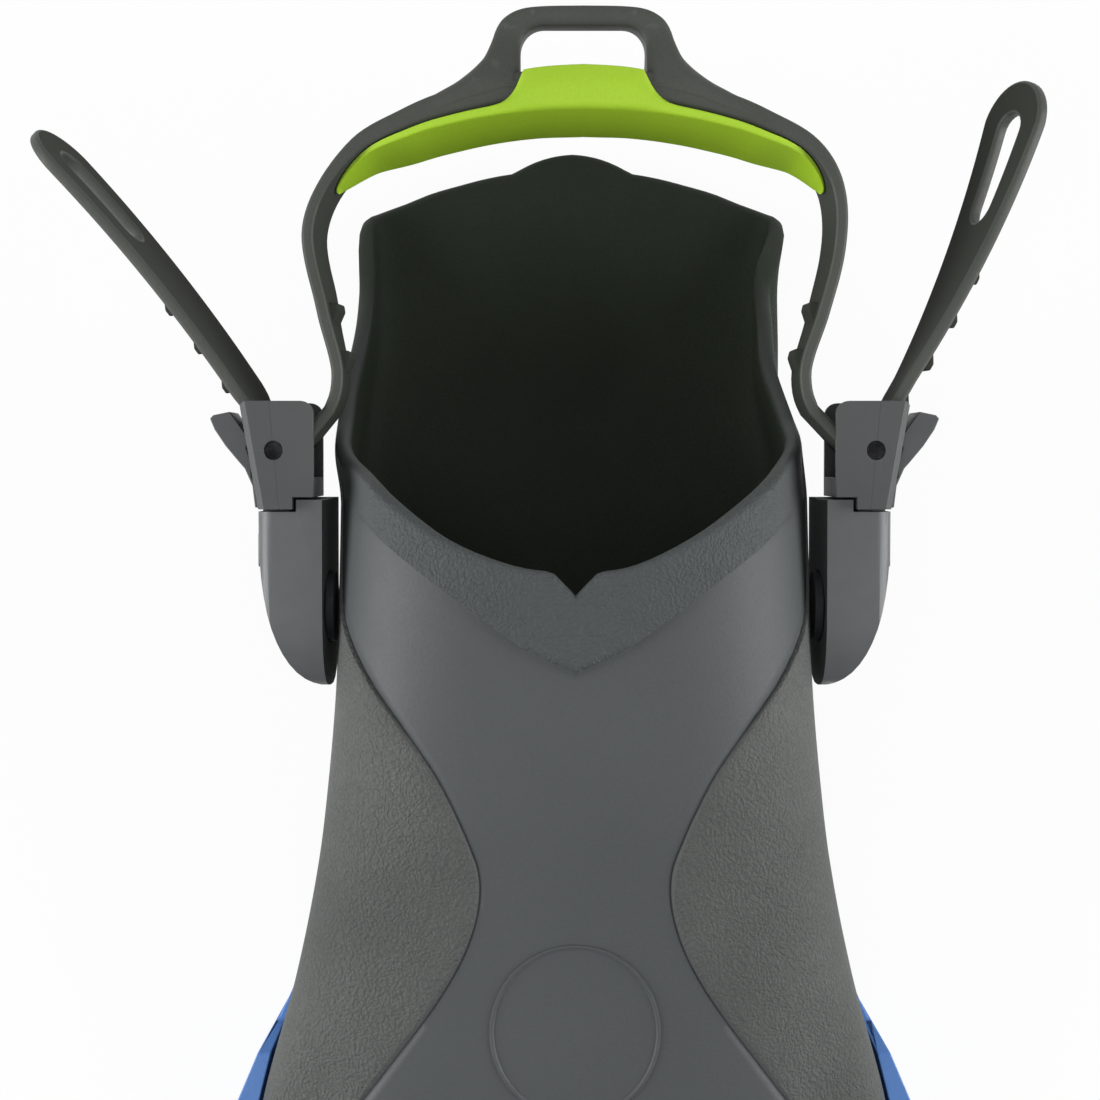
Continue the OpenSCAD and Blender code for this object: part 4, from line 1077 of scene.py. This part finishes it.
pocket_rubber = pocket_material()
strap_rubber = strap_material()
# The third colour of each moulding is its painted edge highlight
hard_plastic = plain_moulding("buckle_plastic", "4f5152", "4c4e4f", "56585a", 0.4, 0.46, specular=0.4)
lever_plastic = plain_moulding("lever_plastic", "515253", "4c4e4f", "585a5c", 0.42, 0.5, specular=0.3)
post_plastic = plain_moulding("post_plastic", "242627", "1d1f20", "3a3c3d", 0.5, 0.6, specular=0.12)
plug_plastic = plug_material()
pad_rubber = plain_moulding("pad_rubber", "a2c830", "98be2a", "b0d248", 0.42, 0.54, size=18.0,
                            bump=0.00003, fine=0.8, grain=1400.0, specular=0.3)
blade_plastic = plain_moulding("blade_plastic", "4577be", "3c6cb0", "6a94d0", 0.3, 0.42, size=12.0,
                               bump=0.00004, fine=0.9, grain=1200.0)
sole_rubber = plain_moulding("sole_rubber", "484b4c", "3d4041", "5a5d5e", 0.6, 0.75, size=24.0,
                             bump=0.00012, fine=0.4, grain=900.0, specular=0.35)
pin_steel = steel_material()

pocket = laid_grid(2 * (len(HALF_COLUMNS) - 1), len(POCKET_ROWS) - 1, pocket_place, POCKET_MASKS)
finished("foot_pocket_skin", pocket, "fin", pocket_rubber, ["foot_pocket"], math.radians(70))
badge = laid_grid(BADGE_STEPS, len(BADGE_RINGS) - 1, badge_place, POCKET_MASKS)
finished("toe_badge", badge, "fin", pocket_rubber)
finished("heel_strap_band", whole_strap(), "strap", strap_rubber, ["heel_strap"])
pad = laid_grid(len(PAD_SECTIONS[0]), PAD_ROWS, pad_place)
pad = finished("heel_pad_form", pad, "strap", pad_rubber, ["heel_pad"], math.radians(60))
moulded("blade", "fin", blade_plastic, 0.7)
moulded("outsole", "fin", sole_rubber, 0.5)
for side in SIDES:
    moulded("buckle_post_" + side, "fin", post_plastic, 0.4)
    moulded("buckle_body_" + side, side + "_buckle", hard_plastic, 0.5, crown=2.4)
    moulded("release_button_" + side, side + "_button", lever_plastic, 0.4)
    moulded("strap_plug_" + side, "strap", plug_plastic, 0.45)
    moulded("ratchet_lever_" + side, side + "_lever", lever_plastic, 0.4)
    leaf_spring(side, pin_steel)
    for part in ("strap_pin_", "lever_pin_"):
        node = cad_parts[part + side]
        node.data.materials.clear()
        node.data.materials.append(pin_steel)


# Floor, light and camera

FLOOR_HALF_W, FLOOR_DROP = 6.0, 0.0004
floor_bm = bmesh.new()
bmesh.ops.create_grid(floor_bm, x_segments=1, y_segments=1, size=FLOOR_HALF_W)
bmesh.ops.translate(floor_bm, verts=floor_bm.verts, vec=(0, 0, -FLOOR_DROP))
floor_mesh = bpy.data.meshes.new("floor")
floor_bm.to_mesh(floor_mesh)
floor_bm.free()
floor = bpy.data.objects.new("floor", floor_mesh)
bpy.context.scene.collection.objects.link(floor)
floor_mesh.materials.append(floor_material())


def soft_light(name, place, aim, size, power):
    """A round area light that faces a point."""
    lamp = bpy.data.lights.new(name, "AREA")
    lamp.shape = "DISK"
    lamp.size = size
    lamp.energy = power
    holder = bpy.data.objects.new(name, lamp)
    bpy.context.scene.collection.objects.link(holder)
    holder.location = place
    holder.rotation_euler = (Vector(aim) - Vector(place)).to_track_quat("-Z", "Y").to_euler()


soft_light("left", (-0.95, -0.1, 0.4), (0, -0.03, 0.05), 0.7, 11.5)
soft_light("right", (0.95, -0.05, 0.4), (0, -0.03, 0.05), 0.7, 11.0)
soft_light("top", (-0.1, -0.35, 1.4), (0, 0, 0.04), 0.9, 2.8)
soft_light("rear", (0.0, 1.0, 0.7), (0, 0.05, 0.05), 0.7, 1.2)

world = bpy.data.worlds.new("studio")
bpy.context.scene.world = world
world.use_nodes = True
sky = world.node_tree
level = remap(sky, seen_directly(sky), 0.0, 1.0, 0.24, 1.0)
sky.links.new(level, sky.nodes["Background"].inputs["Strength"])
sky.nodes["Background"].inputs["Color"].default_value = (1, 1, 1, 1)

lens = bpy.data.cameras.new("camera")
lens.sensor_width = 36.0
lens.lens = 83.9
lens.clip_start = 0.01
camera = bpy.data.objects.new("camera", lens)
bpy.context.scene.collection.objects.link(camera)
aim = Vector((-0.0057, 0.012, 0.045))
tilt = math.radians(78)
distance = 0.6
camera.location = aim + distance * Vector((0, -math.cos(tilt), math.sin(tilt)))
camera.rotation_euler = (math.pi / 2 - tilt, 0, 0)
bpy.context.scene.camera = camera
bpy.context.scene.view_settings.view_transform = "Standard"
